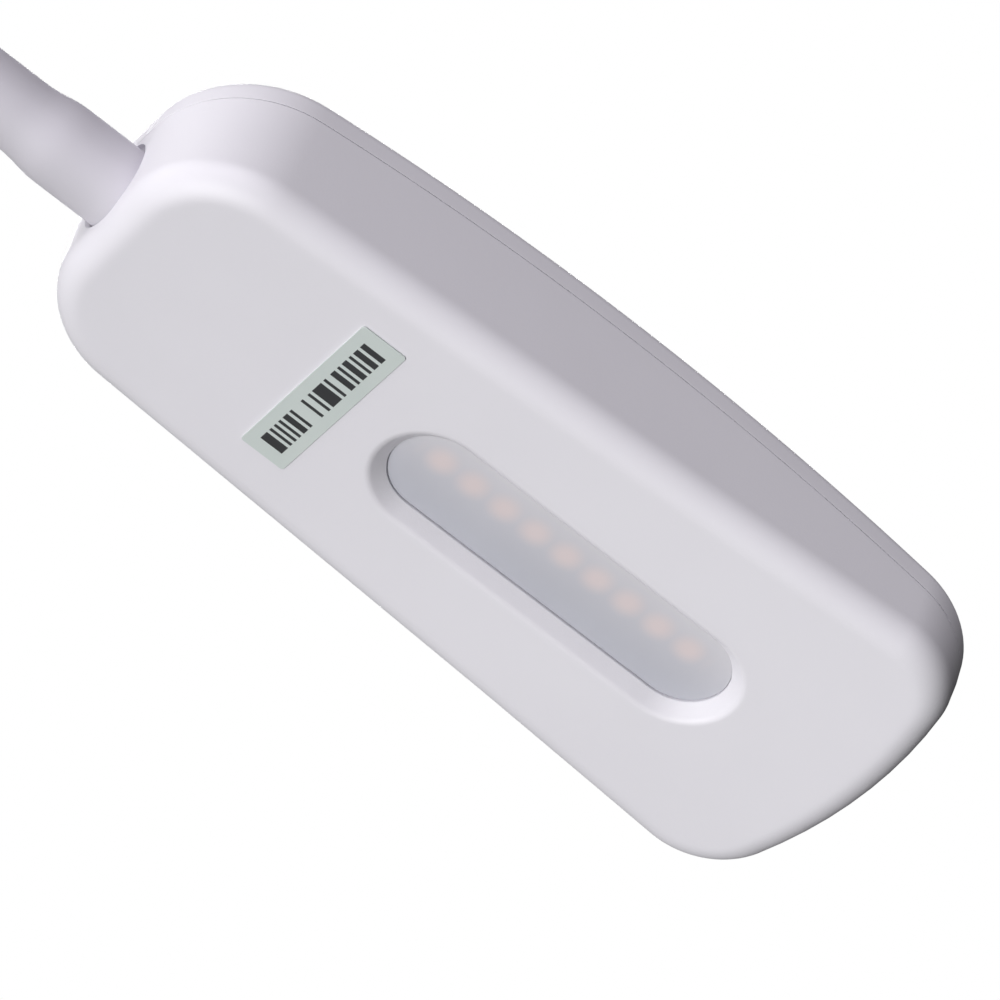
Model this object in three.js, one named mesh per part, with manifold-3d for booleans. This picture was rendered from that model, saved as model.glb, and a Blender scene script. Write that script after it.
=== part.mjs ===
// Clip on reading lamp: a sprung clip, a sleeved gooseneck and a flat LED head.
// Millimetres, +Z up. The origin is the centre of the upper jaw's pad face. The jaws open
// towards +X, and the neck rises from the clip and bends over to carry the head towards +X.
import * as THREE from "three";
import { mergeVertices } from "three/addons/utils/BufferGeometryUtils.js";
import Module from "manifold-3d";

const wasm = await Module();
wasm.setup();

// ---------------------------------------------------------------- driving dimensions
const GAP = 0.3; // left between pieces that touch
const CUT = 0.5; // how far a cutting solid runs past the face it opens
const MERGE = 0.4; // how far a boss or rib runs into the wall that carries it

// clip, upper half: the electronics case
const CLIP_WIDTH = 44;
const CLIP_TOP = 26; // height of the roof over the pad face
const JAW_REACH = 18; // from the pad's centre to the jaw's tip
const CLIP_TAIL = 84; // from the pad's centre to the tail end
const SHELL_WALL = 2.2;
const SHELL_BOTTOM = 2.3; // underside of the case, just above the pad
const TAIL_LIFT = 2.7; // how much the underside rises towards the tail
const SHELL_SPLIT = 13; // height of the parting line
const EDGE = 3; // rounding of the long edges

// torsion spring
const WIRE_R = 0.8;
const COIL_R = 4.5; // to the wire's centre
const COIL_TURNS = 5;
const COIL_PITCH = 2.0;
const LEG_LENGTH = 24;

// pads and jaw
const PAD_LENGTH = 28;
const PAD_MARGIN = 4; // from the pad to each side of the clip
const PAD_WIDTH = CLIP_WIDTH - 2 * PAD_MARGIN;
const PAD_THICK = 2;
const PAD_CORNER = 4;
const REST_OPENING = 6; // between the pads with the clip on its stop
const JAW_PLATE = 7; // thickness of the jaw under its pad
const JAW_WALL = 2.4;
const JAW_EDGE = 1.5; // rounding of the jaw's long edges
const PIVOT_BACK = 42; // pivot behind the pad's centre
const PIVOT_R = COIL_R + WIRE_R + 1; // jaw's knuckle
const PIVOT_DROP = PIVOT_R - SHELL_BOTTOM + 0.5; // pivot below the upper pad's face
const EAR_R = PIVOT_R + 0.7; // case's ears
const EAR_THICK = 4;
const PIN_R = 2;
const LEVER_DROP = 18; // fall of the lever's inner edge from the pivot to its end
const LEVER_THICK = COIL_R + WIRE_R + JAW_WALL + 1.3;

// power button, boards, inlet
const BUTTON_BACK = 8; // button behind the pad's centre
const BUTTON_R = 7.5;
const BUTTON_PROUD = 1.2;
const BUTTON_TRAVEL = 0.8;
const BUTTON_STEM_R = 2.5;
const BUTTON_FLANGE = 1.5; // how far the button's flange stands out under the roof
const BUTTON_FLANGE_THICK = 1.6;
const SWITCH_SIZE = 6;
const SWITCH_HEIGHT = 4;
const SOLDER = 0.1; // left between a board and what is soldered or screwed to it
const BOARD_THICK = 1.4;
const BOARD_LENGTH = 38;
const BOARD_MARGIN = 8; // from the control board to each side of the clip
const BOARD_WIDTH = CLIP_WIDTH - 2 * BOARD_MARGIN;
const BOARD_HEIGHT = 8; // underside of the control board
const INLET_NOSE_R = 3.6;
const INLET_BORE_R = 2.7;
const INLET_BORE = 10; // depth of the inlet's bore
const INLET_PIN_R = 1;
const INLET_LENGTH = 13;

// screws
const SCREW_R = 1.3;
const SCREW_HEAD_R = 2.7;
const SCREW_HEAD = 1.8;
const SMALL_SCREW_R = 1;
const SMALL_HEAD_R = 1.9;
const SMALL_HEAD = 1.3;
const BOSS_WALL = 2;
const SCREW_FROM_TAIL = 20; // shell screws from the tail end of the case
const SCREW_FROM_SIDE = 9; // and from its sides and tip
const SCREW_FROM_EDGE = 4; // control board's screws from its edges
const HEAD_POST_R = 3;
const SMALL_BOSS_R = SMALL_SCREW_R + GAP + 1.7;

// neck
const SLEEVE_R = 5.5;
const SLEEVE_WALL = 1.1;
const HOSE_R = SLEEVE_R - SLEEVE_WALL - GAP;
const HOSE_WALL = 1.6;
const LEAD_R = 1.3;
const LEAD_BORE = LEAD_R + 0.5; // radius of the bore in each end fitting
const FERRULE_WALL = 0.5;
const FERRULE_R = HOSE_R + GAP + FERRULE_WALL;
const FERRULE_TAIL = 12; // end fitting behind the top of its flange
const FLARE_BORE = FERRULE_R + GAP; // sleeve where it is stretched over an end fitting
const FLARE_WALL = 1;
const FLARE_R = FLARE_BORE + FLARE_WALL;
const FLARE_LENGTH = 10;
const FLARE_TAPER = 6;
const HOSE_GRIP = 10; // length of hose held in a ferrule
const NECK_RISE = 130; // straight, from the clip
const NECK_BEND = 60; // radius of the bend at rest
const NECK_RUN = 56; // straight, into the head
const NECK_PARTS = 7; // stretches between the bending places
const BEND_GAP = 1.3; // hose left out on each side of a bending place
const FLANGE = 2;
const FLANGE_RIM = 3.1;
const FLANGE_R = FERRULE_R + FLANGE_RIM;
const COLLAR = 1.6; // thickness of the head fitting's collar
const COLLAR_RIM = 1.2; // how far the collar stands out from the fitting
const NECK_BACK = 40; // neck's foot behind the pad's centre
const NUT_R = FERRULE_R + FLANGE_RIM;
const NUT_THICK = 4;

// head: x runs from the rear face to the front, z up from the light face
const HEAD_LENGTH = 136.7;
const HEAD_REAR_WIDTH = 45;
const HEAD_FRONT_WIDTH = 61.6;
const HEAD_REAR_HEIGHT = 21.1;
const HEAD_FRONT_HEIGHT = 11.4;
const HEAD_CROWN = 6.7; // how far the roof arches over a straight line from rear to front
const HEAD_REAR_CORNER = 16.4;
const HEAD_FRONT_CORNER = 14.3;
const HEAD_FRONT_BULGE = 1.4;
const HEAD_DRAFT = 0.8; // the roof's outline stands this far outside the light face's
const HEAD_FILLET = 4.6; // round between the light face and the sides
const ROOF_EDGE = 1.8;
const COVER_DEPTH = 4.4; // roof to parting line
const HEAD_WALL = 1.8;
const FACE_WALL = 2.6;
const COVER_WALL = 1.2; // thickness of the cover's inner lip
const LIP_DEPTH = 2.5;
const COLLAR_CLEAR = 0.9; // from the collar to the housing's floor
const NECK_HEIGHT = FACE_WALL + COLLAR_CLEAR + COLLAR_RIM + FERRULE_R; // over the light face
const NECK_HOLE_R = FLARE_R + GAP;

// light window
const SLOT_BACK = 81.4; // slot's centre from the head's rear face
const SLOT_HALF = 22.2; // half of the slot's straight length
const SLOT_RIM_R = 9.4;
const WINDOW_R = 7.35;
const SLOT_DEPTH = 2.1;
const DIFFUSER_THICK = 1.6;
const DIFFUSER_LAP = 2.6;
const LED_COUNT = 9;
const LED_PITCH = 5.6;
const LED_LENGTH = 3.5;
const LED_WIDTH = 2.8;
const LED_THICK = 0.7;
const LED_BOARD_HEIGHT = 8;
const LED_BOARD_WIDTH = 16;
const LED_BOARD_THICK = 1.2;
const LABEL_LENGTH = 30;
const LABEL_WIDTH = 7.5;
const LABEL_BACK = 39.1; // label's centre from the rear face
const LABEL_SIDE = -0.7;
const LABEL_THICK = 0.2;
const GLUE = 0.05; // left between the label and the light face

// ---------------------------------------------------------------- solids
const group = new THREE.Group();

// Turns a closed geometry into a solid: shared vertices are joined and empty triangles dropped.
function solid(geometry) {
  const bare = geometry.clone();
  bare.deleteAttribute("normal");
  bare.deleteAttribute("uv");
  const merged = mergeVertices(bare, 1e-4);
  const index = [];
  for (let i = 0; i < merged.index.count; i += 3) {
    const [a, b, c] = [0, 1, 2].map((k) => merged.index.getX(i + k));
    if (a !== b && b !== c && c !== a) index.push(a, b, c);
  }
  const mesh = new wasm.Mesh({
    numProp: 3,
    vertProperties: merged.attributes.position.array,
    triVerts: new Uint32Array(index),
  });
  return new wasm.Manifold(mesh);
}

function geometryOf(made) {
  const { vertProperties, triVerts } = made.getMesh();
  const geometry = new THREE.BufferGeometry();
  geometry.setAttribute("position", new THREE.BufferAttribute(vertProperties, 3));
  geometry.setIndex(new THREE.BufferAttribute(triVerts, 1));
  geometry.computeVertexNormals();
  return geometry;
}

// Colour, roughness and metalness of each finish.
const FINISHES = {
  abs: ["#f1f0f2", 0.45, 0],
  silicone: ["#e9e8ec", 0.6, 0],
  rubber: ["#c9c9cd", 0.85, 0],
  opal: ["#f2efea", 0.35, 0],
  steel: ["#b5b7ba", 0.3, 1],
  brass: ["#c9cacc", 0.35, 1],
  laminate: ["#f4f4f0", 0.5, 0],
  contact: ["#2a2b2e", 0.5, 0],
  phosphor: ["#f6d57a", 0.4, 0],
  label: ["#c8d0cd", 0.4, 0],
  lead: ["#dcdcde", 0.6, 0],
};

function add(name, made, finish) {
  const [color, roughness, metalness] = FINISHES[finish];
  const material = new THREE.MeshStandardMaterial({ color, roughness, metalness });
  const mesh = new THREE.Mesh(geometryOf(made), material);
  mesh.name = name;
  group.add(mesh);
}

function join(...parts) {
  return parts.reduce((all, part) => all.add(part));
}

function cut(body, ...tools) {
  return tools.reduce((left, tool) => left.subtract(tool), body);
}

function box([x0, x1], [y0, y1], [z0, z1]) {
  const geometry = new THREE.BoxGeometry(x1 - x0, y1 - y0, z1 - z0);
  geometry.translate((x0 + x1) / 2, (y0 + y1) / 2, (z0 + z1) / 2);
  return solid(geometry);
}

// A turned piece: the profile's points are [radius, distance along the axis].
function turned(profile, axis, [x, y, z], sides = 24) {
  const points = profile.map(([r, h]) => new THREE.Vector2(r, h));
  const geometry = new THREE.LatheGeometry(points, sides);
  if (axis === "x") geometry.rotateZ(-Math.PI / 2);
  if (axis === "z") geometry.rotateX(Math.PI / 2);
  geometry.translate(x, y, z);
  return solid(geometry);
}

function rod(radius, from, to, axis, centre, sides = 24) {
  return turned([[0, from], [radius, from], [radius, to], [0, to]], axis, centre, sides);
}

// An outline drawn in X and Z, made into a slab centred on Y = 0 with its long edges rounded.
function sideSlab(outline, halfWidth, edge = 0) {
  const geometry = new THREE.ExtrudeGeometry(outline, {
    depth: 2 * (halfWidth - edge),
    bevelEnabled: edge > 0,
    bevelThickness: edge,
    bevelSize: edge,
    bevelOffset: -edge,
    bevelSegments: 3,
    curveSegments: 5,
  });
  geometry.translate(0, 0, -(halfWidth - edge));
  geometry.rotateX(Math.PI / 2);
  return solid(geometry);
}

// Closes a skin over rings that rise in Z. Each ring is a list of [x, y, z] that is symmetrical
// about Y = 0, and its two ends are closed across that line.
function skin(rings) {
  const middle = (points) => points.map(([x, , z]) => [x, 0, z]);
  const all = [middle(rings[0]), ...rings, middle(rings[rings.length - 1])];
  const count = rings[0].length;
  const index = [];
  for (let j = 0; j + 1 < all.length; j += 1) {
    for (let i = 0; i < count; i += 1) {
      const a = j * count + i;
      const b = j * count + ((i + 1) % count);
      index.push(a, b, b + count, a, b + count, a + count);
    }
  }
  const geometry = new THREE.BufferGeometry();
  const position = new Float32Array(all.flat(2));
  geometry.setAttribute("position", new THREE.BufferAttribute(position, 3));
  geometry.setIndex(index);
  return solid(geometry);
}

function screw(name, radius, headRadius, head, length, [x, y, z], up) {
  const cap = [[0, 0], [headRadius, 0], [headRadius, head], [radius, head]];
  const profile = [...cap, [radius, head + length], [0, head + length]];
  const points = up ? profile : profile.map(([r, h]) => [r, -h]).reverse();
  add(name, turned(points, "z", [x, y, z], 12), "steel");
}

function smallScrew(name, length, at) {
  screw(name, SMALL_SCREW_R, SMALL_HEAD_R, SMALL_HEAD, length, at, false);
}

// ---------------------------------------------------------------- places
const HALF_CLIP = CLIP_WIDTH / 2;
const PIVOT = [-PIVOT_BACK, 0, -PIVOT_DROP];
const ROOF_INSIDE = CLIP_TOP - SHELL_WALL;
const BUTTON_AT = [-BUTTON_BACK, 0, 0];
const BOARD_TOP = BOARD_HEIGHT + BOARD_THICK;
const BOARD_FRONT = BOARD_LENGTH / 2 - BUTTON_BACK - 2;
const BOARD_REAR = BOARD_FRONT - BOARD_LENGTH;
const SWITCH_TOP = BOARD_TOP + SOLDER + SWITCH_HEIGHT;
const NECK_FOOT = CLIP_TOP + GAP + FLANGE; // top of the base ferrule's flange
const NECK_X = -NECK_BACK;
const NECK_LENGTH = NECK_RISE + (Math.PI / 2) * NECK_BEND + NECK_RUN;
const PART_LENGTH = NECK_LENGTH / NECK_PARTS;
const HEAD_X = NECK_X + NECK_BEND + NECK_RUN;
const NECK_Z = NECK_FOOT + NECK_RISE + NECK_BEND;
const HEAD_Z = NECK_Z - NECK_HEIGHT;
const SLEEVE_BORE = SLEEVE_R - SLEEVE_WALL;

const INLET_X = -CLIP_TAIL;
const INLET_Z = SHELL_BOTTOM + TAIL_LIFT + SHELL_WALL + INLET_NOSE_R + GAP;
const INLET_AT = [INLET_X, 0, INLET_Z];
const TAIL_TOP = INLET_Z + INLET_NOSE_R + GAP + 1; // top of the straight tail wall

// ---------------------------------------------------------------- clip case
// Side outline of the case, drawn with every wall set in by `inset`.
function caseOutline(inset) {
  const tip = JAW_REACH - inset;
  const tail = -CLIP_TAIL + inset;
  const top = CLIP_TOP - inset;
  const bottom = SHELL_BOTTOM + inset;
  const nose = bottom + 7 - inset / 2;
  const outline = new THREE.Shape();
  outline.moveTo(tip, bottom);
  outline.lineTo(tip, nose);
  outline.quadraticCurveTo(tip - 3, top, tip - 17, top);
  outline.lineTo(tail + 26, top);
  outline.quadraticCurveTo(tail + 4, top, tail, TAIL_TOP - inset / 2);
  outline.lineTo(tail, bottom + TAIL_LIFT);
  outline.lineTo(-PIVOT_BACK - EAR_R, bottom);
  return outline;
}

const SHELL_SCREWS = [
  [JAW_REACH - SCREW_FROM_SIDE, 0],
  [SCREW_FROM_TAIL - CLIP_TAIL, HALF_CLIP - SCREW_FROM_SIDE],
  [SCREW_FROM_TAIL - CLIP_TAIL, SCREW_FROM_SIDE - HALF_CLIP],
];
const CONTROL_SCREWS = [
  [BOARD_REAR + SCREW_FROM_EDGE, BOARD_WIDTH / 2 - SCREW_FROM_EDGE],
  [BOARD_FRONT - SCREW_FROM_EDGE, SCREW_FROM_EDGE - BOARD_WIDTH / 2],
];

function caseBody() {
  const outside = sideSlab(caseOutline(0), HALF_CLIP, EDGE);
  const inside = sideSlab(caseOutline(SHELL_WALL), HALF_CLIP - SHELL_WALL, 1);
  return cut(outside, inside);
}

function caseHalf(body, height) {
  const x = [-CLIP_TAIL - CUT, JAW_REACH + CUT];
  const y = [-HALF_CLIP - CUT, HALF_CLIP + CUT];
  return body.intersect(box(x, y, height));
}

const inletHole = rod(INLET_NOSE_R + GAP, -CUT, SHELL_WALL + 2, "x", INLET_AT, 16);
const TOP_FROM = SHELL_SPLIT + GAP / 2;
const BOTTOM_TO = SHELL_SPLIT - GAP / 2;
const BOSS_R = SCREW_R + GAP + BOSS_WALL;
const SCREW_BITE = 8; // depth of the shell screws' holes in the top shell

function clipTopShell() {
  let shell = caseHalf(caseBody(), [TOP_FROM, CLIP_TOP + CUT]);
  const inside = sideSlab(caseOutline(SHELL_WALL - MERGE), HALF_CLIP - SHELL_WALL, 0);
  const holes = [inletHole];
  for (const [x, y] of SHELL_SCREWS) {
    const boss = rod(BOSS_R, TOP_FROM, CLIP_TOP, "z", [x, y, 0], 16);
    shell = shell.add(boss.intersect(inside));
    holes.push(rod(SCREW_R + GAP, TOP_FROM - CUT, SHELL_SPLIT + SCREW_BITE, "z", [x, y, 0], 12));
  }
  const roof = [ROOF_INSIDE - CUT, CLIP_TOP + CUT];
  holes.push(rod(BUTTON_R + GAP, ...roof, "z", BUTTON_AT, 28));
  holes.push(rod(FERRULE_R + GAP, ...roof, "z", [NECK_X, 0, 0], 24));
  return cut(shell, ...holes);
}

function clipBottomShell() {
  let shell = caseHalf(caseBody(), [SHELL_BOTTOM - CUT, BOTTOM_TO]);
  const floor = SHELL_BOTTOM + SHELL_WALL - MERGE;
  const below = SHELL_BOTTOM - CUT;
  const holes = [inletHole];
  for (const [x, y] of SHELL_SCREWS) {
    const at = [x, y, 0];
    shell = shell.add(rod(BOSS_R, caseFloorAt(x) + SHELL_WALL / 2, BOTTOM_TO, "z", at, 16));
    holes.push(rod(SCREW_R + GAP, below, SHELL_SPLIT + CUT, "z", at, 12));
    holes.push(rod(SCREW_HEAD_R + GAP, below, screwSeat(x), "z", at, 16));
  }
  for (const [x, y] of CONTROL_SCREWS) {
    const at = [x, y, 0];
    shell = shell.add(rod(SMALL_BOSS_R, floor, BOARD_HEIGHT - GAP, "z", at, 12));
    holes.push(rod(SMALL_SCREW_R + GAP, SHELL_BOTTOM + 1, BOARD_HEIGHT + CUT, "z", at, 10));
  }
  for (const side of [-1, 1]) {
    shell = shell.add(caseEar(side));
  }
  holes.push(rod(PIN_R + GAP, -HALF_CLIP - CUT, HALF_CLIP + CUT, "y", PIVOT, 16));
  return cut(shell, ...holes);
}

// Height of the case's underside at x: level over the jaw, rising towards the tail.
function caseFloorAt(x) {
  const start = -PIVOT_BACK - EAR_R;
  const rise = Math.max(0, (start - x) / (start + CLIP_TAIL));
  return SHELL_BOTTOM + TAIL_LIFT * rise;
}

function screwSeat(x) {
  return caseFloorAt(x) + GAP + SCREW_HEAD + GAP;
}

const EAR_OUT = HALF_CLIP - EDGE / 3; // outer face of each ear

// A span of Y on one side of the middle, with its lower end first.
function sided([inner, outer], side) {
  return side > 0 ? [inner, outer] : [-outer, -inner];
}

// An ear that carries the pivot pin, under the case at each side.
function caseEar(side) {
  const outline = new THREE.Shape();
  const [x, , z] = PIVOT;
  outline.moveTo(x + EAR_R, SHELL_BOTTOM + SHELL_WALL / 2);
  outline.lineTo(x - EAR_R, SHELL_BOTTOM + SHELL_WALL / 2);
  outline.lineTo(x - EAR_R, z);
  outline.absarc(x, z, EAR_R, Math.PI, 2 * Math.PI, false);
  const keep = sided([EAR_OUT - EAR_THICK, EAR_OUT + CUT], side);
  const room = box([x - 2 * EAR_R, x + 2 * EAR_R], keep, [z - 2 * EAR_R, CLIP_TOP]);
  return sideSlab(outline, EAR_OUT).intersect(room);
}

// ---------------------------------------------------------------- moving jaw
const KNUCKLE_HALF = EAR_OUT - EAR_THICK - 2 * GAP;
const JAW_TOP = -REST_OPENING - PAD_THICK - GAP;
const COIL_HALF = ((COIL_TURNS + 1) * COIL_PITCH) / 2 + WIRE_R;

// The lever's inner edge starts behind the knuckle and falls to the tail end.
const LEVER_START = [-PIVOT_BACK - PIVOT_R - 1.7, -PIVOT_DROP - 3.5];
const LEVER_RUN = CLIP_TAIL + LEVER_START[0];
const LEVER_ANGLE = Math.atan2(LEVER_DROP, LEVER_RUN);
const LEVER_LENGTH = Math.hypot(LEVER_RUN, LEVER_DROP);

// A point so far along the lever, and so deep under its inner edge.
function leverPoint(reach, depth) {
  const x = LEVER_START[0] - reach * Math.cos(LEVER_ANGLE) + depth * Math.sin(LEVER_ANGLE);
  const z = LEVER_START[1] - reach * Math.sin(LEVER_ANGLE) - depth * Math.cos(LEVER_ANGLE);
  return [x, z];
}

function jawOutline() {
  const tip = JAW_REACH;
  const sole = JAW_TOP - JAW_PLATE;
  const [px, , pz] = PIVOT;
  const outline = new THREE.Shape();
  outline.moveTo(tip, JAW_TOP);
  outline.lineTo(px + PIVOT_R + 2, JAW_TOP);
  outline.lineTo(px + PIVOT_R, pz);
  outline.absarc(px, pz, PIVOT_R, 0, Math.PI, false);
  outline.lineTo(...LEVER_START);
  outline.lineTo(...leverPoint(LEVER_LENGTH, 0));
  const round = leverPoint(LEVER_LENGTH + 4, LEVER_THICK / 2);
  outline.quadraticCurveTo(...round, ...leverPoint(LEVER_LENGTH - 2, LEVER_THICK));
  outline.lineTo(...leverPoint(8, LEVER_THICK));
  outline.quadraticCurveTo(px - 2, sole - 5, px + 12, sole - 3);
  outline.lineTo(tip - 12, sole);
  outline.quadraticCurveTo(tip, sole, tip, sole + 5);
  return outline;
}

function leverPocketOutline() {
  const floor = LEVER_THICK - JAW_WALL;
  const outline = new THREE.Shape();
  outline.moveTo(...leverPoint(1, -4));
  outline.lineTo(...leverPoint(LEVER_LENGTH - JAW_WALL, -4));
  outline.lineTo(...leverPoint(LEVER_LENGTH - JAW_WALL, floor));
  outline.lineTo(...leverPoint(1, floor));
  return outline;
}

function movingJaw() {
  const body = sideSlab(jawOutline(), HALF_CLIP, JAW_EDGE);
  const pocket = sideSlab(leverPocketOutline(), HALF_CLIP - JAW_WALL);
  const coilRoom = PIVOT_R + 0.2;
  const lane = [-COIL_HALF - 1, COIL_HALF + 1];
  const spring = rod(coilRoom, ...lane, "y", PIVOT, 24);
  const [px, , pz] = PIVOT;
  const behind = box([px - coilRoom - 5, px], lane, [pz - coilRoom - 3, pz + 2 * coilRoom]);
  const pin = rod(PIN_R + GAP, -HALF_CLIP, HALF_CLIP, "y", PIVOT, 16);
  const tools = [pocket, spring, behind, pin];
  const earRoom = EAR_R + 1;
  for (const side of [-1, 1]) {
    const span = sided([KNUCKLE_HALF, HALF_CLIP + CUT], side);
    tools.push(rod(earRoom, ...span, "y", PIVOT, 24));
    tools.push(box([px - earRoom, px + earRoom], span, [pz, CLIP_TOP]));
  }
  return cut(body, ...tools);
}

function pad(low) {
  const x = PAD_LENGTH / 2 - PAD_CORNER;
  const y = PAD_WIDTH / 2 - PAD_CORNER;
  const outline = new THREE.Shape();
  outline.absarc(x, y, PAD_CORNER, 0, Math.PI / 2, false);
  outline.absarc(-x, y, PAD_CORNER, Math.PI / 2, Math.PI, false);
  outline.absarc(-x, -y, PAD_CORNER, Math.PI, 1.5 * Math.PI, false);
  outline.absarc(x, -y, PAD_CORNER, 1.5 * Math.PI, 2 * Math.PI, false);
  const geometry = new THREE.ExtrudeGeometry(outline, {
    depth: PAD_THICK,
    bevelEnabled: false,
    curveSegments: 4,
  });
  geometry.translate(0, 0, low);
  return solid(geometry);
}

// ---------------------------------------------------------------- torsion spring
// One wire: a leg under the case, the coil round the pin, and a leg on the lever's floor.
class SpringWire extends THREE.Curve {
  constructor() {
    super();
    const end = caseFloorAt(PIVOT[0] - LEG_LENGTH) - WIRE_R - 1.5 * GAP;
    this.upper = Math.atan2(end - PIVOT[2] - COIL_R, LEG_LENGTH); // the upper leg's rise
    this.lower = LEVER_ANGLE; // the lower leg's fall
    this.sweep = COIL_TURNS * 2 * Math.PI + Math.PI + this.upper + this.lower;
    this.arc = this.sweep * COIL_R;
    this.total = this.arc + 2 * LEG_LENGTH;
  }

  // The coil runs round the pin from the upper leg's tangent point.
  onCoil(swept) {
    const angle = Math.PI / 2 - this.upper - swept;
    const y = (COIL_PITCH * (swept - this.sweep / 2)) / (2 * Math.PI);
    return new THREE.Vector3(
      PIVOT[0] + COIL_R * Math.cos(angle),
      y,
      PIVOT[2] + COIL_R * Math.sin(angle),
    );
  }

  getPoint(t, target = new THREE.Vector3()) {
    const s = t * this.total;
    if (s < LEG_LENGTH) {
      const back = LEG_LENGTH - s;
      const rise = new THREE.Vector3(-Math.cos(this.upper), 0, Math.sin(this.upper));
      return target.copy(this.onCoil(0)).addScaledVector(rise, back);
    }
    if (s > LEG_LENGTH + this.arc) {
      const back = s - LEG_LENGTH - this.arc;
      const fall = new THREE.Vector3(-Math.cos(this.lower), 0, -Math.sin(this.lower));
      return target.copy(this.onCoil(this.sweep)).addScaledVector(fall, back);
    }
    return target.copy(this.onCoil((s - LEG_LENGTH) / COIL_R));
  }
}

function circle(radius, sides, bore = 0) {
  const outline = new THREE.Shape();
  for (let i = 0; i < sides; i += 1) {
    const angle = (2 * Math.PI * i) / sides;
    const point = [radius * Math.cos(angle), radius * Math.sin(angle)];
    if (i === 0) outline.moveTo(...point);
    else outline.lineTo(...point);
  }
  if (bore > 0) outline.holes.push(circle(bore, sides));
  return outline;
}

function along(path, section, steps) {
  const options = { steps, bevelEnabled: false, extrudePath: path, curveSegments: 1 };
  return solid(new THREE.ExtrudeGeometry(section, options));
}

// ---------------------------------------------------------------- neck
// The neck's centre line between two distances from its foot.
class NeckLine extends THREE.Curve {
  constructor(from, to) {
    super();
    this.from = from;
    this.to = to;
  }

  getPoint(t, target = new THREE.Vector3()) {
    const s = this.from + t * (this.to - this.from);
    const bent = s - NECK_RISE;
    if (bent <= 0) return target.set(NECK_X, 0, NECK_FOOT + s);
    const angle = bent / NECK_BEND;
    if (angle >= Math.PI / 2) {
      return target.set(NECK_X + NECK_BEND + bent - (Math.PI / 2) * NECK_BEND, 0, NECK_Z);
    }
    const x = NECK_X + NECK_BEND * (1 - Math.cos(angle));
    return target.set(x, 0, NECK_FOOT + NECK_RISE + NECK_BEND * Math.sin(angle));
  }
}

function neckTube(outer, bore, from, to, sides) {
  const straight = to <= NECK_RISE || from >= NECK_LENGTH - NECK_RUN;
  const steps = straight ? 1 : 5;
  return along(new NeckLine(from, to), circle(outer, sides, bore), steps);
}

// The sleeve's end stretch, stretched over a ferrule for FLARE_LENGTH and then easing in.
function flaredSleeve(start, length) {
  return [
    [FLARE_BORE, start],
    [FLARE_R, start],
    [FLARE_R, FLARE_LENGTH],
    [SLEEVE_R, FLARE_LENGTH + FLARE_TAPER],
    [SLEEVE_R, length],
    [SLEEVE_BORE, length],
    [SLEEVE_BORE, FLARE_LENGTH + FLARE_TAPER],
    [FLARE_BORE, FLARE_LENGTH],
    [FLARE_BORE, start],
  ];
}

function addNeck() {
  const half = GAP / 2;
  for (let i = 0; i < NECK_PARTS; i += 1) {
    const from = i * PART_LENGTH;
    const to = from + PART_LENGTH;
    const first = i === 0;
    const last = i === NECK_PARTS - 1;
    let sleeve = null;
    if (first) {
      sleeve = turned(flaredSleeve(GAP, PART_LENGTH - half), "z", [NECK_X, 0, NECK_FOOT]);
    } else if (last) {
      const profile = flaredSleeve(-HEAD_WALL, PART_LENGTH - half);
      const facing = profile.map(([r, h]) => [r, -h]).reverse();
      sleeve = turned(facing, "x", [HEAD_X, 0, NECK_Z]);
    } else {
      sleeve = neckTube(SLEEVE_R, SLEEVE_BORE, from + half, to - half, 18);
    }
    add(`neck_sleeve_${i + 1}`, sleeve, "silicone");
    const hoseFrom = first ? FLARE_LENGTH - HOSE_GRIP : from + BEND_GAP;
    const hoseTo = last ? NECK_LENGTH - FLARE_LENGTH + HOSE_GRIP : to - BEND_GAP;
    const hose = neckTube(HOSE_R, HOSE_R - HOSE_WALL, hoseFrom, hoseTo, 12);
    add(`neck_hose_${i + 1}`, hose, "steel");
    if (!first && !last) {
      const lead = neckTube(LEAD_R, 0, from + half, to - half, 8);
      add(`neck_lead_${i + 1}`, lead, "lead");
    }
  }
}

// An end fitting: a cup for the hose and a tail with a bore for the lead. The cup's mouth is
// FLARE_LENGTH out from the datum, and the tail runs `tail` behind it.
function ferruleProfile(tail, flangeAt, flangeRadius, flange) {
  const seat = FLARE_LENGTH - HOSE_GRIP - GAP;
  return [
    [LEAD_BORE, -tail],
    [FERRULE_R, -tail],
    [FERRULE_R, flangeAt],
    [flangeRadius, flangeAt],
    [flangeRadius, flangeAt + flange],
    [FERRULE_R, flangeAt + flange],
    [FERRULE_R, FLARE_LENGTH - GAP],
    [HOSE_R + GAP, FLARE_LENGTH - GAP],
    [HOSE_R + GAP, seat],
    [LEAD_BORE, seat],
    [LEAD_BORE, -tail],
  ];
}

// ---------------------------------------------------------------- head
function roofAt(x) {
  const t = THREE.MathUtils.clamp(x / HEAD_LENGTH, 0, 1);
  const straight = THREE.MathUtils.lerp(HEAD_REAR_HEIGHT, HEAD_FRONT_HEIGHT, t);
  return straight + HEAD_CROWN * 4 * t * (1 - t);
}

function halfWidthAt(x) {
  return THREE.MathUtils.lerp(HEAD_REAR_WIDTH, HEAD_FRONT_WIDTH, x / HEAD_LENGTH) / 2;
}

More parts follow.
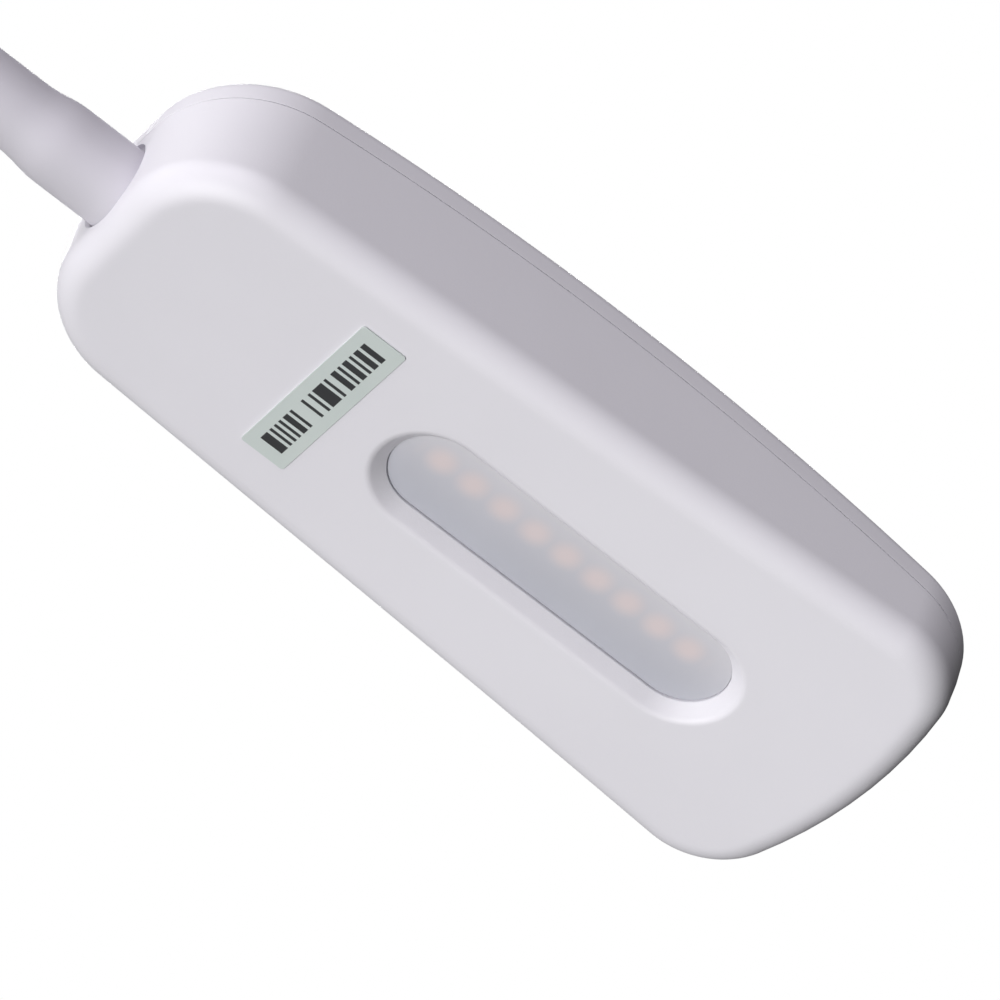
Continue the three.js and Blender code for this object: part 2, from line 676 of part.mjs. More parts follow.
// The head's plan, set in by `inset`, at a height that may follow the roof.
function headRing(inset, height) {
  const rear = inset;
  const front = HEAD_LENGTH - HEAD_FRONT_BULGE - inset;
  const rearR = HEAD_REAR_CORNER - inset;
  const frontR = HEAD_FRONT_CORNER - inset;
  const rearY = halfWidthAt(rear + rearR) - inset - rearR;
  const frontY = halfWidthAt(front - frontR) - inset - frontR;
  const half = [[rear, 0]];
  const arc = 5;
  for (let k = 0; k <= arc; k += 1) {
    const a = (Math.PI / 2) * (k / arc);
    half.push([rear + rearR * (1 - Math.cos(a)), rearY + rearR * Math.sin(a)]);
  }
  const sides = 6;
  for (let k = 1; k < sides; k += 1) {
    const x = THREE.MathUtils.lerp(rear + rearR, front - frontR, k / sides);
    half.push([x, halfWidthAt(x) - inset]);
  }
  for (let k = arc; k >= 0; k -= 1) {
    const a = (Math.PI / 2) * (k / arc);
    half.push([front - frontR * (1 - Math.cos(a)), frontY + frontR * Math.sin(a)]);
  }
  half.push([front + 0.75 * HEAD_FRONT_BULGE, frontY / 2]);
  half.push([front + HEAD_FRONT_BULGE, 0]);
  const level = typeof height === "function" ? height : () => height;
  const right = half.map(([x, y]) => [x, -y, level(x)]);
  const left = half.slice(1, -1).reverse().map(([x, y]) => [x, y, level(x)]);
  return [...right, ...left];
}

// The plan of a slot with round ends, centred on the light window.
function slotRing(radius, height) {
  const ends = 10;
  const points = [];
  for (let k = 0; k <= ends; k += 1) {
    const a = -Math.PI / 2 + (Math.PI * k) / ends;
    points.push([SLOT_BACK + SLOT_HALF + radius * Math.cos(a), radius * Math.sin(a), height]);
  }
  for (let k = 0; k <= ends; k += 1) {
    const a = Math.PI / 2 + (Math.PI * k) / ends;
    points.push([SLOT_BACK - SLOT_HALF + radius * Math.cos(a), radius * Math.sin(a), height]);
  }
  return points;
}

const parting = (x) => roofAt(x) - COVER_DEPTH;
const inHead = (made) => made.translate([HEAD_X, 0, HEAD_Z]);
const LED_BOARD_HALF = SLOT_HALF + WINDOW_R + DIFFUSER_LAP + 7;
const BOARD_SCREW_OUT = LED_BOARD_HALF - 3.5;
const BOARD_SCREW_X = [SLOT_BACK - BOARD_SCREW_OUT, SLOT_BACK + BOARD_SCREW_OUT];
const CLAMP_X = 13;
const CLAMP_HALF = 5;
const CLAMP_SCREW_Y = FERRULE_R + 5;
const CLAMP_LOW = NECK_HEIGHT + 0.4;
const CLAMP_BAR = 2.5;
const CLAMP_TOP = NECK_HEIGHT + FERRULE_R + 2.2;
const FITTING_END = 2 * CLAMP_X - 4; // inner end of the head's neck fitting
const NECK_AXIS = [0, 0, NECK_HEIGHT];

function headHousing() {
  const rings = [];
  for (let k = 0; k <= 3; k += 1) {
    const a = (Math.PI / 2) * (k / 3);
    rings.push(headRing(HEAD_FILLET * (1 - Math.sin(a)), HEAD_FILLET * (1 - Math.cos(a))));
  }
  rings.push(headRing(-HEAD_DRAFT, (x) => parting(x) - GAP / 2));
  const cavity = skin([
    headRing(HEAD_WALL + 2.4, FACE_WALL),
    headRing(HEAD_WALL, FACE_WALL + 2.4),
    headRing(HEAD_WALL, (x) => parting(x) + 1),
  ]);
  let housing = cut(skin(rings), cavity);
  const slope = (SLOT_RIM_R - WINDOW_R) / SLOT_DEPTH;
  const slot = skin([
    slotRing(SLOT_RIM_R + slope * CUT, -CUT),
    slotRing(WINDOW_R, SLOT_DEPTH),
    slotRing(WINDOW_R, FACE_WALL + CUT),
  ]);
  const outside = -HEAD_DRAFT - CUT;
  const holes = [slot, rod(NECK_HOLE_R, outside, HEAD_WALL + 4, "x", NECK_AXIS, 28)];
  const floor = FACE_WALL - MERGE;
  const cradleX = [CLAMP_X - CLAMP_HALF, CLAMP_X + CLAMP_HALF];
  housing = housing.add(box(cradleX, [-FERRULE_R, FERRULE_R], [floor, NECK_HEIGHT - 1.5]));
  holes.push(rod(FERRULE_R + GAP, 0, FITTING_END + CLAMP_HALF, "x", NECK_AXIS));
  const posts = [
    ...BOARD_SCREW_X.map((x) => [x, 0, LED_BOARD_HEIGHT - GAP]),
    ...[-1, 1].map((side) => [CLAMP_X, side * CLAMP_SCREW_Y, CLAMP_LOW - GAP]),
  ];
  for (const [x, y, top] of posts) {
    housing = housing.add(rod(HEAD_POST_R, floor, top, "z", [x, y, 0], 12));
    holes.push(rod(SMALL_SCREW_R + GAP, FACE_WALL, top + CUT, "z", [x, y, 0], 10));
  }
  return cut(housing, ...holes);
}

function headCover() {
  const rings = [headRing(-HEAD_DRAFT, (x) => parting(x) + GAP / 2)];
  for (let k = 0; k <= 3; k += 1) {
    const a = (Math.PI / 2) * (k / 3);
    const inset = ROOF_EDGE * (1 - Math.cos(a)) - HEAD_DRAFT;
    rings.push(headRing(inset, (x) => roofAt(x) - ROOF_EDGE * (1 - Math.sin(a))));
  }
  const lipOut = HEAD_WALL + GAP;
  const lipIn = lipOut + COVER_WALL;
  const band = 1.6; // height of the thick band that carries the lip
  const lip = skin([
    headRing(lipOut, (x) => parting(x) - LIP_DEPTH),
    headRing(lipOut, (x) => parting(x) + band),
  ]);
  const throat = skin([
    headRing(lipIn, (x) => parting(x) - LIP_DEPTH - CUT),
    headRing(lipIn, (x) => parting(x) + band + CUT),
  ]);
  const hollow = skin([
    headRing(HEAD_WALL - HEAD_DRAFT, (x) => parting(x) + band),
    headRing(HEAD_WALL, (x) => roofAt(x) - HEAD_WALL),
  ]);
  const neckNotch = rod(NECK_HOLE_R + GAP, -HEAD_DRAFT - CUT, 2 * CLAMP_X, "x", NECK_AXIS);
  return cut(join(skin(rings), lip), throat, hollow, neckNotch);
}

function diffuser() {
  const base = FACE_WALL + GAP;
  const plate = skin([
    slotRing(WINDOW_R + DIFFUSER_LAP, base),
    slotRing(WINDOW_R + DIFFUSER_LAP, base + DIFFUSER_THICK),
  ]);
  const plug = skin([
    slotRing(WINDOW_R - GAP, SLOT_DEPTH),
    slotRing(WINDOW_R - GAP, base + DIFFUSER_THICK / 2),
  ]);
  return join(plate, plug);
}

function ledBoard() {
  const x = [SLOT_BACK - LED_BOARD_HALF, SLOT_BACK + LED_BOARD_HALF];
  const y = [-LED_BOARD_WIDTH / 2, LED_BOARD_WIDTH / 2];
  const board = box(x, y, [LED_BOARD_HEIGHT, LED_BOARD_HEIGHT + LED_BOARD_THICK]);
  const through = [LED_BOARD_HEIGHT - CUT, LED_BOARD_HEIGHT + LED_BOARD_THICK + CUT];
  const holes = BOARD_SCREW_X.map((at) => {
    return rod(SMALL_SCREW_R + GAP, ...through, "z", [at, 0, 0], 10);
  });
  return cut(board, ...holes);
}

function neckClamp() {
  const x = [CLAMP_X - CLAMP_HALF, CLAMP_X + CLAMP_HALF];
  const y = [-CLAMP_SCREW_Y - HEAD_POST_R, CLAMP_SCREW_Y + HEAD_POST_R];
  const bar = box(x, y, [CLAMP_LOW, CLAMP_LOW + CLAMP_BAR]);
  const hump = box(x, [-FERRULE_R - 2, FERRULE_R + 2], [CLAMP_LOW, CLAMP_TOP]);
  const seat = rod(FERRULE_R + GAP, 0, 2 * CLAMP_X, "x", NECK_AXIS);
  const holes = [-1, 1].map((side) => {
    const at = [CLAMP_X, side * CLAMP_SCREW_Y, 0];
    return rod(SMALL_SCREW_R + GAP, CLAMP_LOW - CUT, CLAMP_TOP, "z", at, 10);
  });
  return cut(join(bar, hump), seat, ...holes);
}

function headFerrule() {
  const collarAt = -CLAMP_X - CLAMP_HALF - GAP - COLLAR;
  const profile = ferruleProfile(FITTING_END, collarAt, FERRULE_R + COLLAR_RIM, COLLAR);
  const facing = profile.map(([r, h]) => [r, -h]).reverse();
  return turned(facing, "x", NECK_AXIS, 24);
}

// The lead leaves the ferrule and lies on the LED board's end.
function headLead() {
  const low = NECK_HEIGHT;
  const high = LED_BOARD_HEIGHT + LED_BOARD_THICK + GAP + LEAD_R;
  const boardEnd = SLOT_BACK - LED_BOARD_HALF;
  const start = -PART_LENGTH + GAP / 2;
  const path = new THREE.CatmullRomCurve3([
    new THREE.Vector3(start, 0, low),
    new THREE.Vector3(start / 2, 0, low),
    new THREE.Vector3(CLAMP_X, 0, low),
    new THREE.Vector3(2 * CLAMP_X, 0, low),
    new THREE.Vector3(boardEnd - 2, 0, high),
    new THREE.Vector3(boardEnd + 1, 0, high),
  ]);
  return along(path, circle(LEAD_R, 8), 28);
}

function addHead() {
  add("head_housing", inHead(headHousing()), "abs");
  add("head_cover", inHead(headCover()), "abs");
  add("diffuser", inHead(diffuser()), "opal");
  add("led_board", inHead(ledBoard()), "laminate");
  for (let i = 0; i < LED_COUNT; i += 1) {
    const x = SLOT_BACK + (i - (LED_COUNT - 1) / 2) * LED_PITCH;
    const top = LED_BOARD_HEIGHT - SOLDER;
    const length = [x - LED_LENGTH / 2, x + LED_LENGTH / 2];
    const chip = box(length, [-LED_WIDTH / 2, LED_WIDTH / 2], [top - LED_THICK, top]);
    add(`led_${i + 1}`, inHead(chip), "phosphor");
  }
  const boardTop = LED_BOARD_HEIGHT + LED_BOARD_THICK + SOLDER + SMALL_HEAD;
  BOARD_SCREW_X.forEach((x, i) => {
    const at = [HEAD_X + x, 0, HEAD_Z + boardTop];
    smallScrew(`board_screw_${i + 1}`, LED_BOARD_THICK + 4, at);
  });
  const label = box(
    [LABEL_BACK - LABEL_WIDTH / 2, LABEL_BACK + LABEL_WIDTH / 2],
    [LABEL_SIDE - LABEL_LENGTH / 2, LABEL_SIDE + LABEL_LENGTH / 2],
    [-GLUE - LABEL_THICK, -GLUE],
  );
  add("rating_label", inHead(label), "label");
  add("head_ferrule", inHead(headFerrule()), "brass");
  add("neck_clamp", inHead(neckClamp()), "steel");
  [-1, 1].forEach((side, i) => {
    const top = HEAD_Z + CLAMP_LOW + CLAMP_BAR + SOLDER + SMALL_HEAD;
    const at = [HEAD_X + CLAMP_X, side * CLAMP_SCREW_Y, top];
    smallScrew(`clamp_screw_${i + 1}`, CLAMP_BAR + 4.5, at);
  });
  add("head_lead", inHead(headLead()), "lead");
}

// ---------------------------------------------------------------- clip
function controlBoard() {
  const y = [-BOARD_WIDTH / 2, BOARD_WIDTH / 2];
  const board = box([BOARD_REAR, BOARD_FRONT], y, [BOARD_HEIGHT, BOARD_TOP]);
  const holes = CONTROL_SCREWS.map((at) => {
    return rod(SMALL_SCREW_R + GAP, BOARD_HEIGHT - CUT, BOARD_TOP + CUT, "z", [...at, 0], 10);
  });
  const [x, side] = SHELL_SCREWS[0];
  const notch = rod(BOSS_R + GAP, BOARD_HEIGHT - CUT, BOARD_TOP + CUT, "z", [x, side, 0], 16);
  return cut(board, ...holes, notch);
}

function tactSwitch() {
  const low = BOARD_TOP + SOLDER;
  const half = SWITCH_SIZE / 2;
  const x = [-BUTTON_BACK - half, -BUTTON_BACK + half];
  const body = box(x, [-half, half], [low, SWITCH_TOP - 0.6]);
  return join(body, rod(1.7, SWITCH_TOP - 1, SWITCH_TOP, "z", BUTTON_AT, 12));
}

function powerButton() {
  const top = CLIP_TOP + BUTTON_PROUD;
  const flange = ROOF_INSIDE - GAP;
  const foot = SWITCH_TOP + BUTTON_TRAVEL + 0.2;
  const profile = [
    [0, foot],
    [BUTTON_STEM_R, foot],
    [BUTTON_STEM_R, flange - BUTTON_FLANGE_THICK],
    [BUTTON_R + BUTTON_FLANGE, flange - BUTTON_FLANGE_THICK],
    [BUTTON_R + BUTTON_FLANGE, flange],
    [BUTTON_R, flange],
    [BUTTON_R, top - 0.8],
    [BUTTON_R - 0.8, top],
    [0, top - 0.4],
  ];
  return turned(profile, "z", BUTTON_AT, 28);
}

function dcInlet() {
  const depth = SHELL_WALL + GAP;
  const half = INLET_NOSE_R + 1;
  const x = [INLET_X + depth, INLET_X + depth + INLET_LENGTH];
  const body = box(x, [-half, half], [INLET_Z - INLET_NOSE_R, INLET_Z + INLET_NOSE_R - 1]);
  const nose = rod(INLET_NOSE_R, GAP, depth + 1, "x", INLET_AT, 20);
  const bore = rod(INLET_BORE_R, 0, INLET_BORE, "x", INLET_AT, 16);
  const pin = rod(INLET_PIN_R, 2, INLET_BORE + 1, "x", INLET_AT, 10);
  return join(cut(join(body, nose), bore), pin);
}

function baseNut() {
  const top = ROOF_INSIDE - GAP;
  const blank = rod(NUT_R, top - NUT_THICK, top, "z", [NECK_X, 0, 0], 6);
  const bore = rod(FERRULE_R + GAP, top - NUT_THICK - CUT, top + CUT, "z", [NECK_X, 0, 0]);
  return cut(blank, bore);
}

// The lead runs from the control board, under the nut, and straight up the neck.
function clipLead() {
  const low = BOARD_TOP + GAP + LEAD_R;
  const path = new THREE.CatmullRomCurve3([
    new THREE.Vector3(BOARD_REAR + 3, 0, low),
    new THREE.Vector3(BOARD_REAR - 1, 0, low),
    new THREE.Vector3(NECK_X + 1.2, 0, low + 2.4),
    new THREE.Vector3(NECK_X, 0, low + 6.5),
    new THREE.Vector3(NECK_X, 0, CLIP_TOP),
    new THREE.Vector3(NECK_X, 0, NECK_FOOT + PART_LENGTH / 2),
    new THREE.Vector3(NECK_X, 0, NECK_FOOT + PART_LENGTH - GAP / 2),
  ]);
  return along(path, circle(LEAD_R, 8), 34);
}

function addClip() {
  add("clip_top_shell", clipTopShell(), "abs");
  add("clip_bottom_shell", clipBottomShell(), "abs");
  add("moving_jaw", movingJaw(), "abs");
  add("upper_pad", pad(0), "rubber");
  add("lower_pad", pad(-REST_OPENING - PAD_THICK), "rubber");
  add("pivot_pin", rod(PIN_R, -HALF_CLIP + 2, HALF_CLIP - 2, "y", PIVOT, 16), "steel");
  add("torsion_spring", along(new SpringWire(), circle(WIRE_R, 6), 100), "steel");
  add("power_button", powerButton(), "abs");
  add("tact_switch", tactSwitch(), "contact");
  add("control_board", controlBoard(), "laminate");
  add("dc_inlet", dcInlet(), "contact");
  const base = ferruleProfile(FERRULE_TAIL, -FLANGE, FLANGE_R, FLANGE);
  add("base_ferrule", turned(base, "z", [NECK_X, 0, NECK_FOOT], 24), "brass");
  add("base_nut", baseNut(), "brass");
  add("clip_lead", clipLead(), "lead");
  SHELL_SCREWS.forEach(([x, y], i) => {
    const at = [x, y, screwSeat(x) - GAP - SCREW_HEAD];
    const length = SHELL_SPLIT + SCREW_BITE - 1 - at[2] - SCREW_HEAD;
    screw(`shell_screw_${i + 1}`, SCREW_R, SCREW_HEAD_R, SCREW_HEAD, length, at, true);
  });
  CONTROL_SCREWS.forEach(([x, y], i) => {
    const at = [x, y, BOARD_TOP + SOLDER + SMALL_HEAD];
    smallScrew(`control_screw_${i + 1}`, BOARD_THICK + 2.6, at);
  });
}

addClip();
addNeck();
addHead();

export default group;
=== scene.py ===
from math import asin, atan, atan2, ceil, cos, hypot, pi, radians, sin, sqrt, tan

import bmesh
import bpy
from mathutils import Matrix, Vector


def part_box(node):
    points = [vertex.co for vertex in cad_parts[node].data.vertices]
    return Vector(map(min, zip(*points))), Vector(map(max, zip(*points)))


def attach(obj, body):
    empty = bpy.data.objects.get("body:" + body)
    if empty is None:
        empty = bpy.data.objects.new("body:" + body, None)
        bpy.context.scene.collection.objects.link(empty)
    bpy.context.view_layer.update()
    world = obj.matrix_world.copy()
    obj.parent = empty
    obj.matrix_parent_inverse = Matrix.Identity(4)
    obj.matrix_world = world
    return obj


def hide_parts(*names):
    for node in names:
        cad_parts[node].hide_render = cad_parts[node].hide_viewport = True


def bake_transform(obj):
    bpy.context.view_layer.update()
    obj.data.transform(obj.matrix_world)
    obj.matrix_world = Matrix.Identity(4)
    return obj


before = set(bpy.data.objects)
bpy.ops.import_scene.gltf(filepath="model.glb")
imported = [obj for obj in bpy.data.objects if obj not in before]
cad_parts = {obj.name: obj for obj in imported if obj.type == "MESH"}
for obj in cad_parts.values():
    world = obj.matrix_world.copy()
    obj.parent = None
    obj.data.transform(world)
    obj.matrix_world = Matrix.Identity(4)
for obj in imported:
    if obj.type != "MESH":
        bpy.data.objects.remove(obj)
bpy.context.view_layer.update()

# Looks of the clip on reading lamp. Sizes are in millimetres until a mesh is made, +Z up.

# ---------------------------------------------------------------- sizes from the frame
MM = 0.001
GAP = 0.3  # left between pieces that touch


def low(node):
    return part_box(node)[0] / MM


def high(node):
    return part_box(node)[1] / MM


def middle(node):
    return (low(node) + high(node)) / 2


# head: x from its rear face, z up from the light face
HEAD_DRAFT = 0.8
HEAD_REAR = low("head_housing").x + HEAD_DRAFT
HEAD_LENGTH = high("head_housing").x - HEAD_DRAFT - HEAD_REAR
HEAD_AT = Vector((HEAD_REAR, 0, low("head_housing").z))
HEAD_REAR_WIDTH = 45
HEAD_FRONT_WIDTH = 61.6
HEAD_REAR_HEIGHT = 21.1
HEAD_FRONT_HEIGHT = 11.4
HEAD_CROWN = 6.7
HEAD_REAR_CORNER = 16.4
HEAD_FRONT_CORNER = 12.8
HEAD_FRONT_R = 86.5  # radius of the bowed front
HEAD_FILLET = 4.6
ROOF_EDGE = 1.8
COVER_DEPTH = 4.4
HEAD_WALL = 1.8
FACE_WALL = 2.6
COVER_WALL = 1.2
LED_POST_TOP = 7.7  # under the LED board
FITTING_DEPTH = 27  # how far the hole for the neck's fitting goes in
LIP_DEPTH = 2.5
LIP_BAND = 1.6
SEAM = 0.08  # what shows between the two shells
SEAM_EDGE = 0.12  # round on each edge of the parting line

# light window
SLOT_X = middle("diffuser").x - HEAD_REAR
SLOT_RIM_R = 9.4
WINDOW_R = 7.35
DIFFUSER_LAP = 2.6
SLOT_HALF = (high("diffuser") - low("diffuser")).x / 2 - WINDOW_R - DIFFUSER_LAP
SLOT_DEPTH = 2.1
SLOT_ROUND = 1.5  # round between the light face and the slope round the window
DIFFUSER_THICK = 1.6
LED_PITCH = middle("led_2").x - middle("led_1").x
LED_COUNT = 9

# neck
SLEEVE_R = 5.5
SLEEVE_WALL = 1.1
FLARE_R = 6.2
FLARE_LENGTH = 10
FLARE_TAPER = 6
HOSE_R = 4.1
HOSE_WIRE_R = 0.8
LEAD_R = 1.3
FERRULE_R = 4.9
FLANGE_R = 8
FLANGE = 2
NECK_X = middle("neck_sleeve_1").x
NECK_FOOT = low("neck_sleeve_1").z - GAP
NECK_Z = middle("neck_sleeve_7").z
NECK_BEND = 60
NECK_RISE = NECK_Z - NECK_FOOT - NECK_BEND
NECK_RUN = HEAD_REAR - NECK_X - NECK_BEND
NECK_LENGTH = NECK_RISE + pi / 2 * NECK_BEND + NECK_RUN
NECK_BODIES = ["root", "link_1", "link_2", "link_3", "link_4", "link_5", "head"]
STRETCH = NECK_LENGTH / len(NECK_BODIES)
SLEEVE_STEP = 1.6
PATH_STEP = 1.5
HOSE_PITCH = 1.82

# clip
CLIP_TOP = high("clip_top_shell").z
CLIP_TIP = high("clip_bottom_shell").x
CLIP_TAIL = low("clip_top_shell").x
HALF_CLIP = high("clip_top_shell").y
SHELL_BOTTOM = high("upper_pad").z + GAP
SHELL_WALL = 2.2
SHELL_LOW = high("clip_bottom_shell").z  # the two shells meet between these heights
SHELL_HIGH = low("clip_top_shell").z
TAIL_LIFT = 2.7
EDGE = 3
PIVOT = middle("pivot_pin")
PIVOT_R = 6.3
EAR_R = 7
EAR_THICK = 4
EAR_OUT = HALF_CLIP - EDGE / 3
PIN_R = 2
JAW_TOP = low("lower_pad").z - GAP
JAW_PLATE = 7
JAW_WALL = 2.4
JAW_EDGE = 1.5
LEVER_DROP = 18
LEVER_THICK = 9
COIL_R = 4.5
WIRE_R = 0.8
COIL_TURNS = 5
COIL_PITCH = 2
LEG_LENGTH = 24
PAD_CORNER = 4
RIB_R = 0.55
RIB_PITCH = 2
BUTTON_AT = middle("power_button")
BUTTON_R = 7.5
INLET_HEIGHT = 11.1
INLET_AT = Vector((CLIP_TAIL, 0, INLET_HEIGHT))
INLET_NOSE_R = 3.6
INLET_BORE_R = 2.7

# screws: head radius, head height and thread radius
SCREW = (2.7, 1.8, 1.3)
SMALL_SCREW = (1.9, 1.3, 1)
HOLE_R = SCREW[2] + GAP
SMALL_HOLE_R = SMALL_SCREW[2] + GAP
BOSS_R = HOLE_R + 2
SEAT_R = SCREW[0] + GAP
POST_R = 3

# ---------------------------------------------------------------- camera
# The lamp is seen from below its head, which fills the view; the neck leaves at the upper left.
SLOT_AT = HEAD_AT + Vector((SLOT_X, 0, 0))
EYE_FROM_SLOT = Vector((-202.7, -488.2, -554.7))
AIM_FROM_SLOT = Vector((-14.4, -5.5, 0))
CAMERA_ROLL = 21.44
LENS = 198


def add_camera():
    data = bpy.data.cameras.new("camera")
    data.lens = LENS
    data.sensor_width = 36
    data.clip_start = 0.01
    data.clip_end = 200
    camera = bpy.data.objects.new("camera", data)
    bpy.context.scene.collection.objects.link(camera)
    line = AIM_FROM_SLOT - EYE_FROM_SLOT
    turn = line.to_track_quat("-Z", "Y").to_matrix().to_4x4()
    camera.matrix_world = turn @ Matrix.Rotation(radians(CAMERA_ROLL), 4, "Z")
    camera.location = (SLOT_AT + EYE_FROM_SLOT) * MM
    bpy.context.scene.camera = camera


# ---------------------------------------------------------------- node trees
def add(tree, kind, links=None, **settings):
    """Adds a node. links maps its inputs to a value, another node's output, or a list of outputs."""
    made = tree.nodes.new(kind)
    for name, value in settings.items():
        setattr(made, name, value)
    for key, value in (links or {}).items():
        for one in value if isinstance(value, list) else [value]:
            if isinstance(one, bpy.types.NodeSocket):
                tree.links.new(one, made.inputs[key])
            else:
                made.inputs[key].default_value = one
    return made


def linear(colour):
    """An sRGB hex colour as linear RGBA."""
    parts = [int(colour[i : i + 2], 16) / 255 for i in (0, 2, 4)]
    curved = [p / 12.92 if p <= 0.04045 else ((p + 0.055) / 1.055) ** 2.4 for p in parts]
    return (*curved, 1)


def per_metre(size):
    """The scale of a pattern whose features are `size` millimetres across."""
    return 1 / (size * MM)


# ---------------------------------------------------------------- materials
def start_material(name):
    material = bpy.data.materials.new(name)
    material.use_nodes = True
    tree = material.node_tree
    tree.nodes.clear()
    place = add(tree, "ShaderNodeTexCoord").outputs["Object"]
    return material, tree, place


def mottled(tree, place, size, light, dark, detail=2):
    """A colour that drifts between two close tones over `size` millimetres."""
    drift = {"Vector": place, "Scale": per_metre(size), "Detail": detail}
    noise = add(tree, "ShaderNodeTexNoise", drift)
    ramp = add(tree, "ShaderNodeValToRGB", {"Fac": noise.outputs["Fac"]})
    ramp.color_ramp.elements[0].position = 0.35
    ramp.color_ramp.elements[0].color = linear(dark)
    ramp.color_ramp.elements[1].position = 0.65
    ramp.color_ramp.elements[1].color = linear(light)
    return ramp.outputs["Color"]


def roughened(tree, place, size, smooth, rough):
    """Roughness that wanders between two values over `size` millimetres."""
    noise = add(tree, "ShaderNodeTexNoise", {"Vector": place, "Scale": per_metre(size), "Detail": 4})
    spread = {"Value": noise.outputs["Fac"], "From Min": 0.3, "From Max": 0.7}
    reach = {"To Min": smooth, "To Max": rough}
    return add(tree, "ShaderNodeMapRange", {**spread, **reach}).outputs["Result"]


def grained(tree, place, size, depth):
    """A fine surface grain, `size` millimetres across and `depth` deep."""
    noise = add(tree, "ShaderNodeTexNoise", {"Vector": place, "Scale": per_metre(size), "Detail": 3})
    bump = {"Height": noise.outputs["Fac"], "Distance": depth * MM}
    return add(tree, "ShaderNodeBump", bump).outputs["Normal"]


def end_material(tree, **sockets):
    """Joins the finish to the surface. A name's underscores stand for the socket's spaces."""
    links = {name.replace("_", " "): value for name, value in sockets.items()}
    shader = add(tree, "ShaderNodeBsdfPrincipled", links)
    add(tree, "ShaderNodeOutputMaterial", {"Surface": shader.outputs["BSDF"]})


def even_finish(name, tones, gloss, grain, **sockets):
    """One material all over: tones (size, light, dark, detail), gloss (size, smooth, rough) and
    grain (size, depth), each with its size in millimetres."""
    material, tree, place = start_material(name)
    end_material(
        tree,
        Base_Color=mottled(tree, place, *tones),
        Roughness=roughened(tree, place, *gloss),
        Normal=grained(tree, place, *grain),
        **sockets,
    )
    return material


def opal_diffuser():
    """Opal polycarbonate with a satin face, through which the chips show as faint warm spots, with
    painted shade along one long side.
    """
    material, tree, place = start_material("opal_polycarbonate")
    # The chips stand behind the face, so their spots sit a little towards the far side of it.
    spots_at = (HEAD_AT + Vector((SLOT_X - 1, -2.6, 0))) * MM
    centred = add(tree, "ShaderNodeMapping", {"Vector": place, "Location": -spots_at}).outputs["Vector"]
    pitches = {0: centred, "Scale": per_metre(LED_PITCH)}
    scaled = add(tree, "ShaderNodeVectorMath", pitches, operation="SCALE")
    axes = add(tree, "ShaderNodeSeparateXYZ", {"Vector": scaled.outputs["Vector"]})
    shifted = add(tree, "ShaderNodeMath", {0: axes.outputs["X"], 1: 0.5}, operation="ADD")
    wrapped = add(tree, "ShaderNodeMath", {0: shifted.outputs["Value"]}, operation="FRACT")
    local = add(tree, "ShaderNodeMath", {0: wrapped.outputs["Value"], 1: 0.5}, operation="SUBTRACT")
    near = add(tree, "ShaderNodeCombineXYZ", {"X": local.outputs["Value"], "Y": axes.outputs["Y"]})
    away = add(tree, "ShaderNodeVectorMath", {0: near.outputs["Vector"]}, operation="LENGTH")
    fade = {"Value": away.outputs["Value"], "From Min": 0.62, "From Max": 0.08}
    spot = add(tree, "ShaderNodeMapRange", fade, interpolation_type="SMOOTHSTEP")
    along = add(tree, "ShaderNodeMath", {0: axes.outputs["X"]}, operation="ABSOLUTE")
    row = LED_COUNT / 2
    row_end = {"Value": along.outputs["Value"], "From Min": row + 0.3, "From Max": row - 0.2}
    inside = add(tree, "ShaderNodeMapRange", row_end, interpolation_type="SMOOTHSTEP")
    both = {0: spot.outputs["Result"], 1: inside.outputs["Result"]}
    shown = add(tree, "ShaderNodeMath", both, operation="MULTIPLY")
    # Painted shade: the sheet is coloured cooler and darker towards its long side at +Y, standing in
    # for the shade that falls there.
    across = {"Value": axes.outputs["Y"], "From Min": -1.3, "From Max": 1.7}
    side = add(tree, "ShaderNodeMapRange", across, interpolation_type="SMOOTHSTEP")
    painted_shade_mix = add(tree, "ShaderNodeMix", data_type="RGBA")
    tree.links.new(side.outputs["Result"], painted_shade_mix.inputs[0])
    tree.links.new(mottled(tree, place, 30, "DCDADF", "DAD8DD"), painted_shade_mix.inputs[6])
    tree.links.new(mottled(tree, place, 30, "C4C5CE", "C1C2CB"), painted_shade_mix.inputs[7])
    mix = add(tree, "ShaderNodeMix", data_type="RGBA")
    tree.links.new(shown.outputs["Value"], mix.inputs[0])
    tree.links.new(painted_shade_mix.outputs[2], mix.inputs[6])
    mix.inputs[7].default_value = linear("E4D8D9")
    end_material(
        tree,
        Base_Color=mix.outputs[2],
        Roughness=roughened(tree, place, 3, 0.34, 0.42),
        IOR=1.58,
        Subsurface_Weight=0.25,
        Subsurface_Radius=(0.002, 0.002, 0.002),
        Subsurface_Scale=1.0,
        Normal=grained(tree, place, 0.6, 0.004),
    )
    return material


